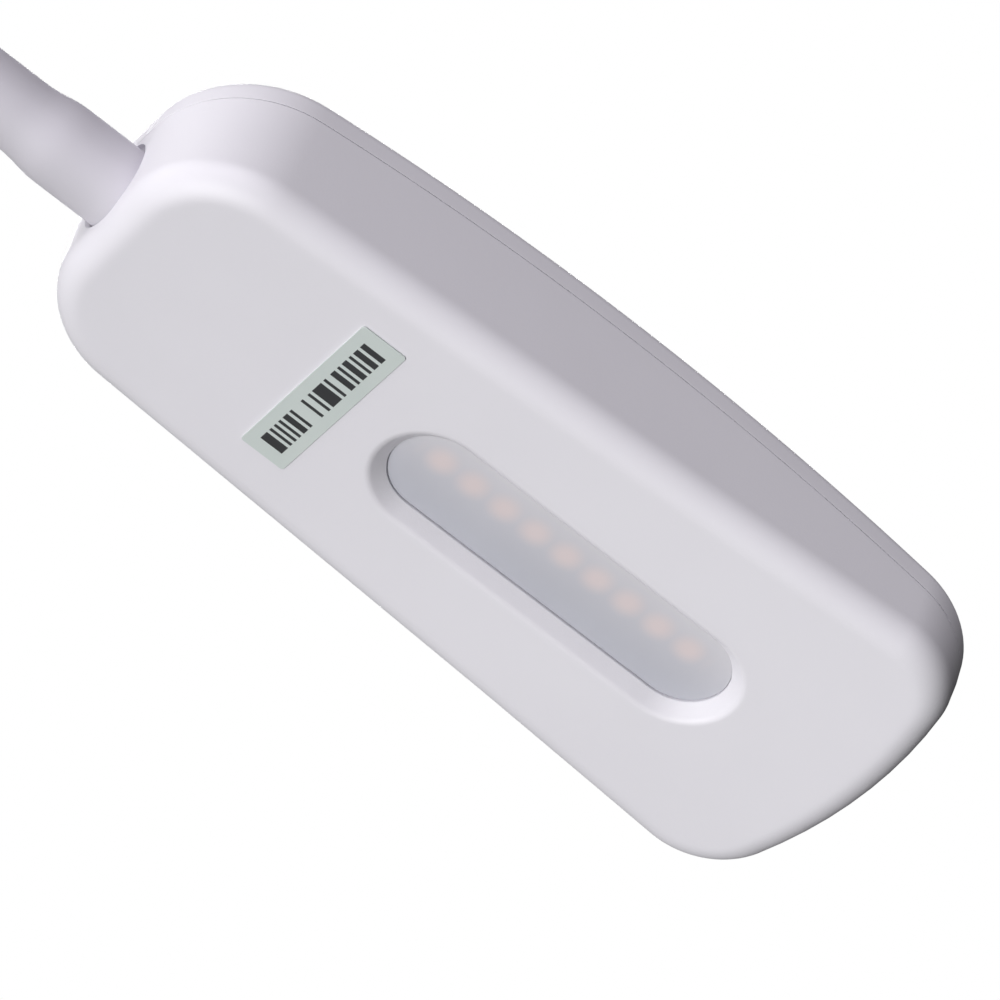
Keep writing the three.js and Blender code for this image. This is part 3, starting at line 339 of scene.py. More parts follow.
def printed_label():
    """Polyester rating label: pale green-grey, a little glossy, printed with a row of plain bars."""
    material, tree, place = start_material("printed_polyester_label")
    centre = middle("rating_label") * MM
    centred = add(tree, "ShaderNodeMapping", {"Vector": place, "Location": -centre}).outputs["Vector"]
    axes = add(tree, "ShaderNodeSeparateXYZ", {"Vector": centred})
    bar = 0.55 * MM  # width of the narrowest bar
    steps = add(tree, "ShaderNodeMath", {0: axes.outputs["Y"], 1: bar}, operation="DIVIDE")
    whole = add(tree, "ShaderNodeMath", {0: steps.outputs["Value"]}, operation="FLOOR")
    chance = add(tree, "ShaderNodeTexWhiteNoise", {"W": whole.outputs["Value"]}, noise_dimensions="1D")
    inked = add(tree, "ShaderNodeMath", {0: chance.outputs["Value"], 1: 0.52}, operation="LESS_THAN")
    across = add(tree, "ShaderNodeMath", {0: axes.outputs["X"]}, operation="ABSOLUTE")
    tall = add(tree, "ShaderNodeMath", {0: across.outputs["Value"], 1: 1.9 * MM}, operation="LESS_THAN")
    lengthways = add(tree, "ShaderNodeMath", {0: axes.outputs["Y"]}, operation="ABSOLUTE")
    reach = {0: lengthways.outputs["Value"], 1: 12.6 * MM}
    ends = add(tree, "ShaderNodeMath", reach, operation="LESS_THAN")
    row = {0: inked.outputs["Value"], 1: tall.outputs["Value"]}
    first = add(tree, "ShaderNodeMath", row, operation="MULTIPLY")
    block = {0: first.outputs["Value"], 1: ends.outputs["Value"]}
    print_mask = add(tree, "ShaderNodeMath", block, operation="MULTIPLY")
    paper = mottled(tree, place, 12, "D3DBD8", "CFD8D5")
    mix = add(tree, "ShaderNodeMix", data_type="RGBA")
    tree.links.new(print_mask.outputs["Value"], mix.inputs[0])
    tree.links.new(paper, mix.inputs[6])
    mix.inputs[7].default_value = linear("3A3B3D")
    end_material(
        tree,
        Base_Color=mix.outputs[2],
        Roughness=roughened(tree, place, 4, 0.28, 0.36),
        IOR=1.6,
        Normal=grained(tree, place, 0.8, 0.004),
    )
    return material


def coated_board(name, light, dark):
    """Glass-epoxy board under solder mask: a lacquer gloss over a faint woven ground."""
    material, tree, place = start_material(name)
    weave = {"Vector": place, "Scale": per_metre(1.1), "Distortion": 0.4}
    cloth = add(tree, "ShaderNodeTexWave", weave, bands_direction="DIAGONAL")
    bump = {"Height": cloth.outputs["Fac"], "Distance": 0.006 * MM}
    end_material(
        tree,
        Base_Color=mottled(tree, place, 4, light, dark, 4),
        Roughness=roughened(tree, place, 2, 0.3, 0.42),
        IOR=1.55,
        Normal=add(tree, "ShaderNodeBump", bump).outputs["Normal"],
    )
    return material


# ---------------------------------------------------------------- mesh tools
def make_mesh(name, points, faces, at=(0, 0, 0)):
    """A closed mesh from points in millimetres, with its seams joined and its faces outward."""
    mesh = bpy.data.meshes.new(name)
    shift = Vector(at)
    mesh.from_pydata([(Vector(p) + shift) * MM for p in points], [], faces)
    shape = bmesh.new()
    shape.from_mesh(mesh)
    bmesh.ops.remove_doubles(shape, verts=shape.verts, dist=1e-7)
    bmesh.ops.dissolve_degenerate(shape, dist=1e-7, edges=shape.edges)
    bmesh.ops.recalc_face_normals(shape, faces=shape.faces)
    if shape.calc_volume(signed=True) < 0:
        bmesh.ops.reverse_faces(shape, faces=shape.faces)
    shape.to_mesh(mesh)
    shape.free()
    return mesh


def loft(name, rings, at=(0, 0, 0), loop=False, capped=False):
    """Skins rings of equal length. A loop joins the last ring to the first; caps close the ends."""
    count = len(rings[0])
    points = [p for ring in rings for p in ring]
    faces = []
    for j in range(len(rings) if loop else len(rings) - 1):
        near = j * count
        far = (j + 1) % len(rings) * count
        for i in range(count):
            after = (i + 1) % count
            faces.append((near + i, near + after, far + after, far + i))
    if capped:
        faces.append(tuple(range(count))[::-1])
        faces.append(tuple(range(len(points) - count, len(points))))
    return make_mesh(name, points, faces, at)


def rounded(corners):
    """An outline from (x, y, radius) corners, each turned into an arc."""
    outline = []
    count = len(corners)
    for i, (x, y, radius) in enumerate(corners):
        here = Vector((x, y))
        back = Vector(corners[i - 1][:2]) - here
        ahead = Vector(corners[(i + 1) % count][:2]) - here
        turn = pi - back.angle(ahead)
        if radius == 0 or turn < 0.01:
            outline.append((x, y))
            continue
        reach = radius * tan(turn / 2)
        start = here + back.normalized() * reach
        end = here + ahead.normalized() * reach
        inward = (back.normalized() + ahead.normalized()).normalized()
        centre = here + inward * hypot(radius, reach)
        steps = max(2, ceil(turn / radians(7)))
        first = atan2(*(start - centre).yx)
        sweep = (atan2(*(end - centre).yx) - first + pi) % (2 * pi) - pi
        for step in range(steps + 1):
            angle = first + sweep * step / steps
            outline.append((centre.x + radius * cos(angle), centre.y + radius * sin(angle)))
    return outline


def oblong(a, b, radius):
    """The corners of a rectangle between two opposite ones, for `rounded`."""
    return [(a[0], a[1], radius), (b[0], a[1], radius), (b[0], b[1], radius), (a[0], b[1], radius)]


def set_in(outline, distance):
    """The outline moved inwards, with its corners mitred."""
    area = sum(a[0] * b[1] - b[0] * a[1] for a, b in zip(outline, outline[1:] + outline[:1]))
    side = 1 if area > 0 else -1
    moved = []
    for i, point in enumerate(outline):
        before = (Vector(point) - Vector(outline[i - 1])).normalized()
        after = (Vector(outline[(i + 1) % len(outline)]) - Vector(point)).normalized()
        inward = Vector((-(before.y + after.y), before.x + after.x)).normalized() * side
        stretch = max(0.4, inward.dot(Vector((-before.y, before.x)) * side))
        moved.append(tuple(Vector(point) + inward * distance / stretch))
    return moved


def slab(name, outline, span, edge=0, upright=True):
    """An outline made into a slab with rounded long edges: in X and Z across Y, or flat across Z."""
    start, end = span
    steps = 6 if edge else 0
    rounds = []
    for step in range(steps + 1):
        angle = pi / 2 * step / max(steps, 1)
        rounds.append((edge * (1 - sin(angle)), edge * (1 - cos(angle))))
    levels = [(inset, start + rise) for inset, rise in rounds]
    levels += [(inset, end - rise) for inset, rise in reversed(rounds)]
    rings = []
    for inset, level in levels:
        ring = set_in(outline, inset) if inset else outline
        rings.append([(x, level, y) if upright else (x, y, level) for x, y in ring])
    return loft(name, rings, capped=True)


def turned(name, profile, axis, at, sides=48, loop=False):
    """A turned piece from (radius, distance along the axis) points."""
    rings = []
    for radius, height in profile:
        ring = []
        for step in range(sides):
            angle = 2 * pi * step / sides
            a, b = radius * cos(angle), radius * sin(angle)
            ring.append({"x": (height, a, b), "y": (a, height, b), "z": (a, b, height)}[axis])
        rings.append(ring)
    return loft(name, rings, at, loop=loop, capped=not loop)


def rod(radius, start, end, axis, at, sides=40):
    return turned("rod", [(radius, start), (radius, end)], axis, at, sides)


def block(x, y, z):
    corners = [(a, b, c) for a in x for b in y for c in z]
    faces = [(0, 1, 3, 2), (4, 6, 7, 5), (0, 4, 5, 1), (2, 3, 7, 6), (0, 2, 6, 4), (1, 5, 7, 3)]
    return make_mesh("block", corners, faces)


def carved(body, *steps):
    """Works helper meshes into a body, one ('UNION' | 'DIFFERENCE' | 'INTERSECT', mesh) at a time."""
    stock = bpy.data.objects.new(body.name, body)
    bpy.context.scene.collection.objects.link(stock)
    tools = []
    for operation, mesh in steps:
        tool = bpy.data.objects.new("tool", mesh)
        bpy.context.scene.collection.objects.link(tool)
        tools.append(tool)
        modifier = stock.modifiers.new("work", "BOOLEAN")
        modifier.operation = operation
        modifier.solver = "MANIFOLD"
        modifier.object = tool
    bpy.context.view_layer.update()
    seen = stock.evaluated_get(bpy.context.evaluated_depsgraph_get())
    made = bpy.data.meshes.new_from_object(seen)
    for one in [stock, *tools]:
        bpy.data.objects.remove(one)
    return made


def piece(name, mesh, material, body, slot, *nodes, sharp=32):
    """A finished piece: shaded, given its finish, riding on a body and standing for CAD nodes."""
    made = bpy.data.objects.new(name, mesh)
    bpy.context.scene.collection.objects.link(made)
    mesh.materials.clear()
    mesh.materials.append(material)
    mesh.shade_smooth()
    mesh.set_sharp_from_angle(angle=radians(sharp))
    # Large flat faces keep an even shade beside the rounds.
    weighting = made.modifiers.new("even_faces", "WEIGHTED_NORMAL")
    weighting.keep_sharp = True
    bpy.context.view_layer.update()
    seen = made.evaluated_get(bpy.context.evaluated_depsgraph_get())
    made.data = bpy.data.meshes.new_from_object(seen)
    made.modifiers.clear()
    made.data.name = name
    if body:
        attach(made, body)
    if nodes:
        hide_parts(*nodes)
    return made


# ---------------------------------------------------------------- geometry node trees
def start_tree(name, **inputs):
    """A geometry tree with named inputs. Gives the tree, its input node and its output node."""
    tree = bpy.data.node_groups.new(name, "GeometryNodeTree")
    tree.interface.new_socket("Geometry", in_out="INPUT", socket_type="NodeSocketGeometry")
    for label, kind in inputs.items():
        tree.interface.new_socket(label, in_out="INPUT", socket_type="NodeSocket" + kind)
    tree.interface.new_socket("Geometry", in_out="OUTPUT", socket_type="NodeSocketGeometry")
    return tree, add(tree, "NodeGroupInput").outputs


def end_tree(tree, geometry, material):
    real = add(tree, "GeometryNodeRealizeInstances", {"Geometry": geometry})
    smooth = add(tree, "GeometryNodeSetShadeSmooth", {"Geometry": real.outputs[0]})
    painted = {"Geometry": smooth.outputs[0], "Material": material}
    done = add(tree, "GeometryNodeSetMaterial", painted)
    add(tree, "NodeGroupOutput", {"Geometry": done.outputs[0]})
    return tree


def grown(name, tree, mesh, **sizes):
    """The plain mesh that a tree makes from a mesh and its named sizes."""
    seed = bpy.data.objects.new(name, mesh)
    bpy.context.scene.collection.objects.link(seed)
    modifier = seed.modifiers.new("grow", "NODES")
    modifier.node_group = tree
    for item in tree.interface.items_tree:
        if item.in_out == "INPUT" and item.name in sizes:
            modifier[item.identifier] = sizes[item.name]
    bpy.context.view_layer.update()
    seen = seed.evaluated_get(bpy.context.evaluated_depsgraph_get())
    made = bpy.data.meshes.new_from_object(seen)
    bpy.data.objects.remove(seed)
    return made


def polyline(points):
    """Points in millimetres joined by edges, as the path that a tree follows."""
    mesh = bpy.data.meshes.new("path")
    edges = [(i, i + 1) for i in range(len(points) - 1)]
    mesh.from_pydata([Vector(p) * MM for p in points], edges, [])
    return mesh


def wire_tree():
    """Round wire laid along a path."""
    tree, given = start_tree("wire_on_path", Radius="Float", Sides="Int", Material="Material")
    line = add(tree, "GeometryNodeMeshToCurve", {"Mesh": given["Geometry"]})
    round_wire = {"Resolution": given["Sides"], "Radius": given["Radius"]}
    section = add(tree, "GeometryNodeCurvePrimitiveCircle", round_wire)
    swept = {"Curve": line.outputs[0], "Profile Curve": section.outputs["Curve"], "Fill Caps": True}
    wire = add(tree, "GeometryNodeCurveToMesh", swept)
    return end_tree(tree, wire.outputs[0], given["Material"])


def hose_tree():
    """Wound wire of the gooseneck: a turn at each step of the path, square to it."""
    sizes = {"Turns": "Int", "Coil Radius": "Float", "Wire Radius": "Float", "Material": "Material"}
    tree, given = start_tree("wound_hose", **sizes)
    line = add(tree, "GeometryNodeMeshToCurve", {"Mesh": given["Geometry"]})
    evenly = {"Curve": line.outputs[0], "Count": given["Turns"]}
    places = add(tree, "GeometryNodeResampleCurve", evenly)
    coil = add(
        tree, "GeometryNodeCurvePrimitiveCircle", {"Resolution": 28, "Radius": given["Coil Radius"]}
    )
    wire = add(
        tree, "GeometryNodeCurvePrimitiveCircle", {"Resolution": 8, "Radius": given["Wire Radius"]}
    )
    swept = {"Curve": coil.outputs["Curve"], "Profile Curve": wire.outputs["Curve"]}
    turn = add(tree, "GeometryNodeCurveToMesh", swept)
    heading = add(tree, "GeometryNodeInputTangent")
    facing = add(
        tree, "FunctionNodeAlignRotationToVector", {"Vector": heading.outputs["Tangent"]}, axis="Z"
    )
    set_out = {
        "Points": places.outputs[0],
        "Instance": turn.outputs[0],
        "Rotation": facing.outputs["Rotation"],
    }
    turns = add(tree, "GeometryNodeInstanceOnPoints", set_out)
    return end_tree(tree, turns.outputs[0], given["Material"])


def screw_tree():
    """Cross-head screws, one at each point: a tapered pan head with its recess and a threaded shank."""
    sizes = {
        "Head Radius": "Float",
        "Head Height": "Float",
        "Shank Radius": "Float",
        "Shank Length": "Float",
        "Turn": "Rotation",
        "Material": "Material",
    }
    tree, given = start_tree("cross_head_screws", **sizes)
    taper = {0: given["Head Radius"], 1: 0.84}
    top_radius = add(tree, "ShaderNodeMath", taper, operation="MULTIPLY").outputs[0]
    pan = {
        "Vertices": 40,
        "Radius Bottom": top_radius,
        "Radius Top": given["Head Radius"],
        "Depth": given["Head Height"],
    }
    head = add(tree, "GeometryNodeMeshCone", pan)
    slot_length = add(tree, "ShaderNodeMath", {0: given["Head Radius"], 1: 1.15}, operation="MULTIPLY")
    slot_width = add(tree, "ShaderNodeMath", {0: given["Head Radius"], 1: 0.26}, operation="MULTIPLY")
    long, wide = slot_length.outputs[0], slot_width.outputs[0]
    cross = []
    for x, y in ((long, wide), (wide, long)):
        size = add(tree, "ShaderNodeCombineXYZ", {"X": x, "Y": y, "Z": given["Head Height"]})
        cross.append(add(tree, "GeometryNodeMeshCube", {"Size": size.outputs[0]}).outputs["Mesh"])
    recessed = add(
        tree, "GeometryNodeMeshBoolean", {"Mesh 1": head.outputs["Mesh"], "Mesh 2": cross}
    )
    core = add(tree, "ShaderNodeMath", {0: given["Shank Radius"], 1: 0.86}, operation="MULTIPLY")
    rise = {"Vertices": 20, "Radius": core.outputs[0], "Depth": given["Shank Length"]}
    shank = add(tree, "GeometryNodeMeshCylinder", rise)
    half = add(tree, "ShaderNodeMath", {0: given["Shank Length"], 1: 0.5}, operation="MULTIPLY")
    centre = add(tree, "ShaderNodeMath", {0: half.outputs[0], 1: given["Head Height"]})
    lifted = add(tree, "ShaderNodeCombineXYZ", {"Z": centre.outputs[0]})
    placed = {"Geometry": shank.outputs["Mesh"], "Translation": lifted.outputs[0]}
    shank_up = add(tree, "GeometryNodeTransform", placed)
    turns = add(tree, "ShaderNodeMath", {0: given["Shank Length"], 1: 0.0006}, operation="DIVIDE")
    ridge_line = {
        "Resolution": 14,
        "Rotations": turns.outputs[0],
        "Start Radius": core.outputs[0],
        "End Radius": core.outputs[0],
        "Height": given["Shank Length"],
    }
    ridge = add(tree, "GeometryNodeCurveSpiral", ridge_line)
    tooth = add(tree, "ShaderNodeMath", {0: given["Shank Radius"], 1: 0.14}, operation="MULTIPLY")
    point = {"Resolution": 4, "Radius": tooth.outputs[0]}
    section = add(tree, "GeometryNodeCurvePrimitiveCircle", point)
    swept = {"Curve": ridge.outputs[0], "Profile Curve": section.outputs["Curve"], "Fill Caps": True}
    thread = add(tree, "GeometryNodeCurveToMesh", swept)
    foot = add(tree, "ShaderNodeCombineXYZ", {"Z": given["Head Height"]})
    seated = {"Geometry": thread.outputs[0], "Translation": foot.outputs[0]}
    thread_up = add(tree, "GeometryNodeTransform", seated)
    parts = [recessed.outputs["Mesh"], shank_up.outputs[0], thread_up.outputs[0]]
    whole = add(tree, "GeometryNodeJoinGeometry", {"Geometry": parts})
    set_out = {"Points": given["Geometry"], "Instance": whole.outputs[0], "Rotation": given["Turn"]}
    screws = add(tree, "GeometryNodeInstanceOnPoints", set_out)
    return end_tree(tree, screws.outputs[0], given["Material"])


def rib_tree():
    """Half-round ribs laid side by side across a pad, joined to its plate."""
    sizes = {
        "Ribs": "Int",
        "Pitch": "Float",
        "Rib Radius": "Float",
        "Rib Length": "Float",
        "First": "Vector",
        "Material": "Material",
    }
    tree, given = start_tree("ribbed_pad", **sizes)
    step = add(tree, "ShaderNodeCombineXYZ", {"X": given["Pitch"]})
    row = {"Count": given["Ribs"], "Start Location": given["First"], "Offset": step.outputs[0]}
    places = add(tree, "GeometryNodeMeshLine", row, mode="OFFSET")
    bar = {"Vertices": 16, "Radius": given["Rib Radius"], "Depth": given["Rib Length"]}
    rib = add(tree, "GeometryNodeMeshCylinder", bar)
    lay = {"Geometry": rib.outputs["Mesh"], "Rotation": (pi / 2, 0, 0)}
    lying = add(tree, "GeometryNodeTransform", lay)
    set_out = {"Points": places.outputs[0], "Instance": lying.outputs[0]}
    ribs = add(tree, "GeometryNodeInstanceOnPoints", set_out)
    both = {"Geometry": [given["Geometry"], ribs.outputs[0]]}
    pad = add(tree, "GeometryNodeJoinGeometry", both)
    return end_tree(tree, pad.outputs[0], given["Material"])


# ---------------------------------------------------------------- head
def arc(centre, radius, start, end, steps):
    """Points on an arc, each with its outward direction, without the last one."""
    found = []
    for step in range(steps):
        angle = start + (end - start) * step / steps
        out = Vector((cos(angle), sin(angle)))
        found.append((Vector(centre) + radius * out, out))
    return found


def straight(start, end, out, steps):
    a, b = Vector(start), Vector(end)
    return [(a.lerp(b, step / steps), Vector(out)) for step in range(steps)]


END_STEPS = 45  # points round each end of the slot, and round each end of the head
SIDE_STEPS = 56
CORNER_STEPS = 18


def head_plan():
    """The head's plan as (point, outward direction), from the rear corner on the +Y side."""
    slope = (HEAD_FRONT_WIDTH - HEAD_REAR_WIDTH) / 2 / HEAD_LENGTH
    flare = atan(slope)
    rear = HEAD_REAR_CORNER
    rear_y = HEAD_REAR_WIDTH / 2 + slope * rear - rear / cos(flare)
    # The front corner touches the flared side and the bowed front.
    corner = HEAD_FRONT_CORNER
    bow_x = HEAD_LENGTH - HEAD_FRONT_R
    offset = HEAD_REAR_WIDTH / 2 - corner / cos(flare)
    a = 1 + slope**2
    b = 2 * (slope * offset - bow_x)
    c = bow_x**2 + offset**2 - (HEAD_FRONT_R - corner) ** 2
    front_x = (-b + sqrt(b * b - 4 * a * c)) / (2 * a)
    front_y = offset + slope * front_x
    bow = asin(front_y / (HEAD_FRONT_R - corner))
    side_out = Vector((-sin(flare), cos(flare)))
    side_rear = Vector((rear, rear_y)) + rear * side_out
    side_front = Vector((front_x, front_y)) + corner * side_out
    flip = Vector((1, -1))
    full = pi / 2 + flare
    flat_steps = END_STEPS - 2 * CORNER_STEPS
    return [
        *arc((rear, rear_y), rear, full, pi, CORNER_STEPS),
        *straight((0, rear_y), (0, -rear_y), (-1, 0), flat_steps),
        *arc((rear, -rear_y), rear, pi, 2 * pi - full, CORNER_STEPS),
        *straight(side_rear * flip, side_front * flip, side_out * flip, SIDE_STEPS),
        *arc((front_x, -front_y), corner, -full, -bow, CORNER_STEPS),
        *arc((bow_x, 0), HEAD_FRONT_R, -bow, bow, flat_steps),
        *arc((front_x, front_y), corner, bow, full, CORNER_STEPS),
        *straight(side_front, side_rear, side_out, SIDE_STEPS),
    ]


PLAN = head_plan()


def swell(x):
    """How far the foot of the wall stands out where the head is shallow, so that the draft is even."""
    wall = roof(x, COVER_DEPTH) - HEAD_FILLET
    deepest = roof(0, COVER_DEPTH) - HEAD_FILLET
    return HEAD_DRAFT * max(0, 1 - wall / deepest)


def head_ring(inset, height, squeeze=1, foot=0):
    """The plan set in by `inset`, at a height that may follow the roof, squeezed towards Y = 0.

    `foot` is 1 at the foot of the wall and 0 at its top."""
    ring = []
    for point, out in PLAN:
        x, y = point + (foot * swell(point.x) - inset) * out
        ring.append((x, y * squeeze, height(x) if callable(height) else height))
    return ring


def slot_ring(radius, height):
    front, rear = SLOT_X + SLOT_HALF, SLOT_X - SLOT_HALF
    line = [
        *arc((rear, 0), radius, pi / 2, 3 * pi / 2, END_STEPS),
        *straight((rear, -radius), (front, -radius), (0, -1), SIDE_STEPS),
        *arc((front, 0), radius, -pi / 2, pi / 2, END_STEPS),
        *straight((front, radius), (rear, radius), (0, 1), SIDE_STEPS),
    ]
    return [(point.x, point.y, height) for point, _ in line]


def between(outer, inner, share):
    return [tuple(Vector(a).lerp(Vector(b), share)) for a, b in zip(outer, inner)]


def roof(x, drop=0):
    t = min(max(x / HEAD_LENGTH, 0), 1)
    straight_line = HEAD_REAR_HEIGHT + (HEAD_FRONT_HEIGHT - HEAD_REAR_HEIGHT) * t
    return straight_line + HEAD_CROWN * 4 * t * (1 - t) - drop


def under_roof(drop):
    return lambda x: roof(x, drop)


def quarter(radius, steps):
    """(inset, rise) along a quarter round, from lying flat to standing up."""
    angles = [pi / 2 * step / steps for step in range(steps + 1)]
    return [(radius * (1 - sin(angle)), radius * (1 - cos(angle))) for angle in angles]


def slot_profile():
    """(radius, height) from the light face over the rim and down the slope to the window."""
    slope = atan2(SLOT_DEPTH, SLOT_RIM_R - WINDOW_R)
    reach = SLOT_ROUND * tan(slope / 2)
    steps = 8
    profile = [(SLOT_RIM_R + reach + 0.4, 0)]
    for step in range(steps + 1):
        angle = slope * step / steps
        radius = SLOT_RIM_R + reach - SLOT_ROUND * sin(angle)
        profile.append((radius, SLOT_ROUND * (1 - cos(angle))))
    profile.append((WINDOW_R + 0.12, SLOT_DEPTH - 0.12 * tan(slope)))
    profile.append((WINDOW_R, SLOT_DEPTH))
    profile.append((WINDOW_R, SLOT_DEPTH + 0.1))
    profile.append((WINDOW_R, FACE_WALL))
    return profile


def head_housing(material):
    """The lower shell: drafted sides, a soft round to the light face, and the slot round the window."""
    seam = COVER_DEPTH + SEAM / 2
    rings = [
        head_ring(HEAD_WALL, under_roof(seam)),
        head_ring(SEAM_EDGE - HEAD_DRAFT, under_roof(seam)),
        head_ring(0.3 * SEAM_EDGE - HEAD_DRAFT, under_roof(seam + 0.3 * SEAM_EDGE)),
        head_ring(-HEAD_DRAFT, under_roof(seam + SEAM_EDGE)),
    ]
    base = head_ring(0, HEAD_FILLET, foot=1)
    rings += [between(rings[3], base, share) for share in (0.25, 0.5, 0.75, 0.95)]
    for inset, rise in reversed(quarter(HEAD_FILLET, 16)):
        rings.append(head_ring(inset, rise, foot=1))
    flat = head_ring(HEAD_FILLET + 0.4, 0, foot=1)
    slot = [slot_ring(radius, height) for radius, height in slot_profile()]
    rings += [flat, between(flat, slot[0], 0.35), between(flat, slot[0], 0.7), *slot]
    floor = head_ring(HEAD_WALL + 2.4, FACE_WALL)
    rings += [between(slot[-1], floor, share) for share in (0.2, 0.6, 1)]
    rings += [head_ring(HEAD_WALL, FACE_WALL + 2.4)]
    mesh = loft("head_housing", rings, loop=True)
    axis = (0, 0, NECK_Z - HEAD_AT.z)
    steps = []
    clamp = middle("neck_clamp").x - HEAD_REAR
    clamp_low = low("neck_clamp").z - HEAD_AT.z
    cradle = ((clamp - 5, clamp + 5), (-FERRULE_R, FERRULE_R), (FACE_WALL - 0.4, axis[2] - 1.5))
    steps.append(("UNION", block(*cradle)))
    posts = [(middle(n).x - HEAD_REAR, 0, LED_POST_TOP) for n in ("board_screw_1", "board_screw_2")]
    posts += [(clamp, middle(f"clamp_screw_{n}").y, clamp_low - GAP) for n in (1, 2)]
    for x, y, top in posts:
        steps.append(("UNION", rod(POST_R, FACE_WALL - 0.4, top, "z", (x, y, 0), 32)))
    for x, y, top in posts:
        steps.append(("DIFFERENCE", rod(SMALL_HOLE_R, FACE_WALL, top + 1, "z", (x, y, 0), 24)))
    hole_r = FLARE_R + GAP
    mouth = [(hole_r + 0.5, -2), (hole_r + 0.5, -0.15), (hole_r, 0.35), (hole_r, HEAD_WALL + 4)]
    steps.append(("DIFFERENCE", turned("mouth", mouth, "x", axis, 64)))
    steps.append(("DIFFERENCE", rod(FERRULE_R + GAP, 0, FITTING_DEPTH, "x", axis)))
    mesh = carved(mesh, *steps)
    mesh.transform(shift_to(HEAD_AT))
    piece("head_housing_shell", mesh, material, "head", "shell", "head_housing")


def shift_to(place):
    return Matrix.Translation(Vector(place) * MM)


def head_cover(material):
    """The upper shell: a low arched roof with a tight round edge, and a lip inside the housing."""
    seam = COVER_DEPTH - SEAM / 2
    lip_out = HEAD_WALL + GAP
    lip_in = lip_out + COVER_WALL
    squeezes = (0, 0.15, 0.35, 0.55, 0.75, 0.9)
    rings = [head_ring(ROOF_EDGE + 0.4 - HEAD_DRAFT, roof, squeeze) for squeeze in squeezes]
    rings.append(head_ring(ROOF_EDGE + 0.4 - HEAD_DRAFT, roof))
    for inset, rise in quarter(ROOF_EDGE, 10):
        rings.append(head_ring(inset - HEAD_DRAFT, under_roof(rise)))
    for inset, drop in (
        (-HEAD_DRAFT, (ROOF_EDGE + seam) / 2),
        (-HEAD_DRAFT, seam - SEAM_EDGE),
        (0.3 * SEAM_EDGE - HEAD_DRAFT, seam - 0.3 * SEAM_EDGE),
        (SEAM_EDGE - HEAD_DRAFT, seam),
        (lip_out, seam),
        (lip_out, COVER_DEPTH + LIP_DEPTH),
        (lip_in, COVER_DEPTH + LIP_DEPTH),
        (lip_in, COVER_DEPTH - LIP_BAND),
        (HEAD_WALL - HEAD_DRAFT, COVER_DEPTH - LIP_BAND),
        (HEAD_WALL, HEAD_WALL),
    ):
        rings.append(head_ring(inset, under_roof(drop)))
    rings += [head_ring(HEAD_WALL, under_roof(HEAD_WALL), squeeze) for squeeze in reversed(squeezes)]
    mesh = loft("head_cover", rings)
    notch = rod(FLARE_R + 2 * GAP, -2, 26, "x", (0, 0, NECK_Z - HEAD_AT.z), 64)
    mesh = carved(mesh, ("DIFFERENCE", notch))
    mesh.transform(shift_to(HEAD_AT))
    piece("head_cover_shell", mesh, material, "head", "shell", "head_cover")


def diffuser(material):
    """The opal window: a plug that fills the slot, on a plate that laps behind it."""
    base = FACE_WALL + GAP
    plug = WINDOW_R - 0.06
    front = SLOT_DEPTH + 0.35
    edge = 0.1
    rings = [
        slot_ring(0.01, front),
        slot_ring(plug / 2, front),
        slot_ring(plug - edge, front),
        slot_ring(plug - edge / 3, front + edge / 3),
        slot_ring(plug, front + edge),
        slot_ring(plug, base),
        slot_ring(WINDOW_R + DIFFUSER_LAP, base),
        slot_ring(WINDOW_R + DIFFUSER_LAP, base + DIFFUSER_THICK),
        slot_ring(0.01, base + DIFFUSER_THICK),
    ]
    mesh = loft("diffuser", rings, HEAD_AT, capped=True)
    piece("window_diffuser", mesh, material, "head", "diffuser", "diffuser")


def rating_label(material):
    a, b = low("rating_label"), high("rating_label")
    outline = rounded(oblong(a.xy, b.xy, 0.5))
    mesh = slab("label", outline, (a.z, b.z), 0.05, upright=False)
    piece("rating_plate", mesh, material, "head", "label", "rating_label")


# ---------------------------------------------------------------- neck
def neck_point(s):
    """The neck's centre line at a distance from its foot: (place, direction)."""
    bent = s - NECK_RISE
    if bent <= 0:
        return Vector((NECK_X, 0, NECK_FOOT + s)), Vector((0, 0, 1))
    angle = min(bent / NECK_BEND, pi / 2)
    past = bent - angle * NECK_BEND
    x = NECK_X + NECK_BEND * (1 - cos(angle)) + past
    z = NECK_FOOT + NECK_RISE + NECK_BEND * sin(angle)
    return Vector((x, 0, z)), Vector((sin(angle), 0, cos(angle)))


def sleeve_radius(s, plain, flared):
    """The sleeve is stretched over the fitting at each end and eases in after it."""
    from_end = min(s, NECK_LENGTH - s)
    t = min(max((from_end - FLARE_LENGTH) / FLARE_TAPER, 0), 1)
    return flared + (plain - flared) * t * t * (3 - 2 * t)


def sleeve_ring(s, radius, sides=64):
    place, heading = neck_point(s)
    across = Vector((heading.z, 0, -heading.x))
    ring = []
    for step in range(sides):
        angle = 2 * pi * step / sides
        ring.append(place + radius * (cos(angle) * across + sin(angle) * Vector((0, 1, 0))))
    return ring


def sleeve_mesh(start, end):
    count = ceil((end - start) / SLEEVE_STEP)
    stops = [start + (end - start) * i / count for i in range(count + 1)]
    bore = SLEEVE_R - SLEEVE_WALL
    flare_bore = FERRULE_R + GAP
    outside = [sleeve_ring(s, sleeve_radius(s, SLEEVE_R, FLARE_R)) for s in stops]
    inside = [sleeve_ring(s, sleeve_radius(s, bore, flare_bore)) for s in reversed(stops)]
    return loft("sleeve", outside + inside, loop=True)


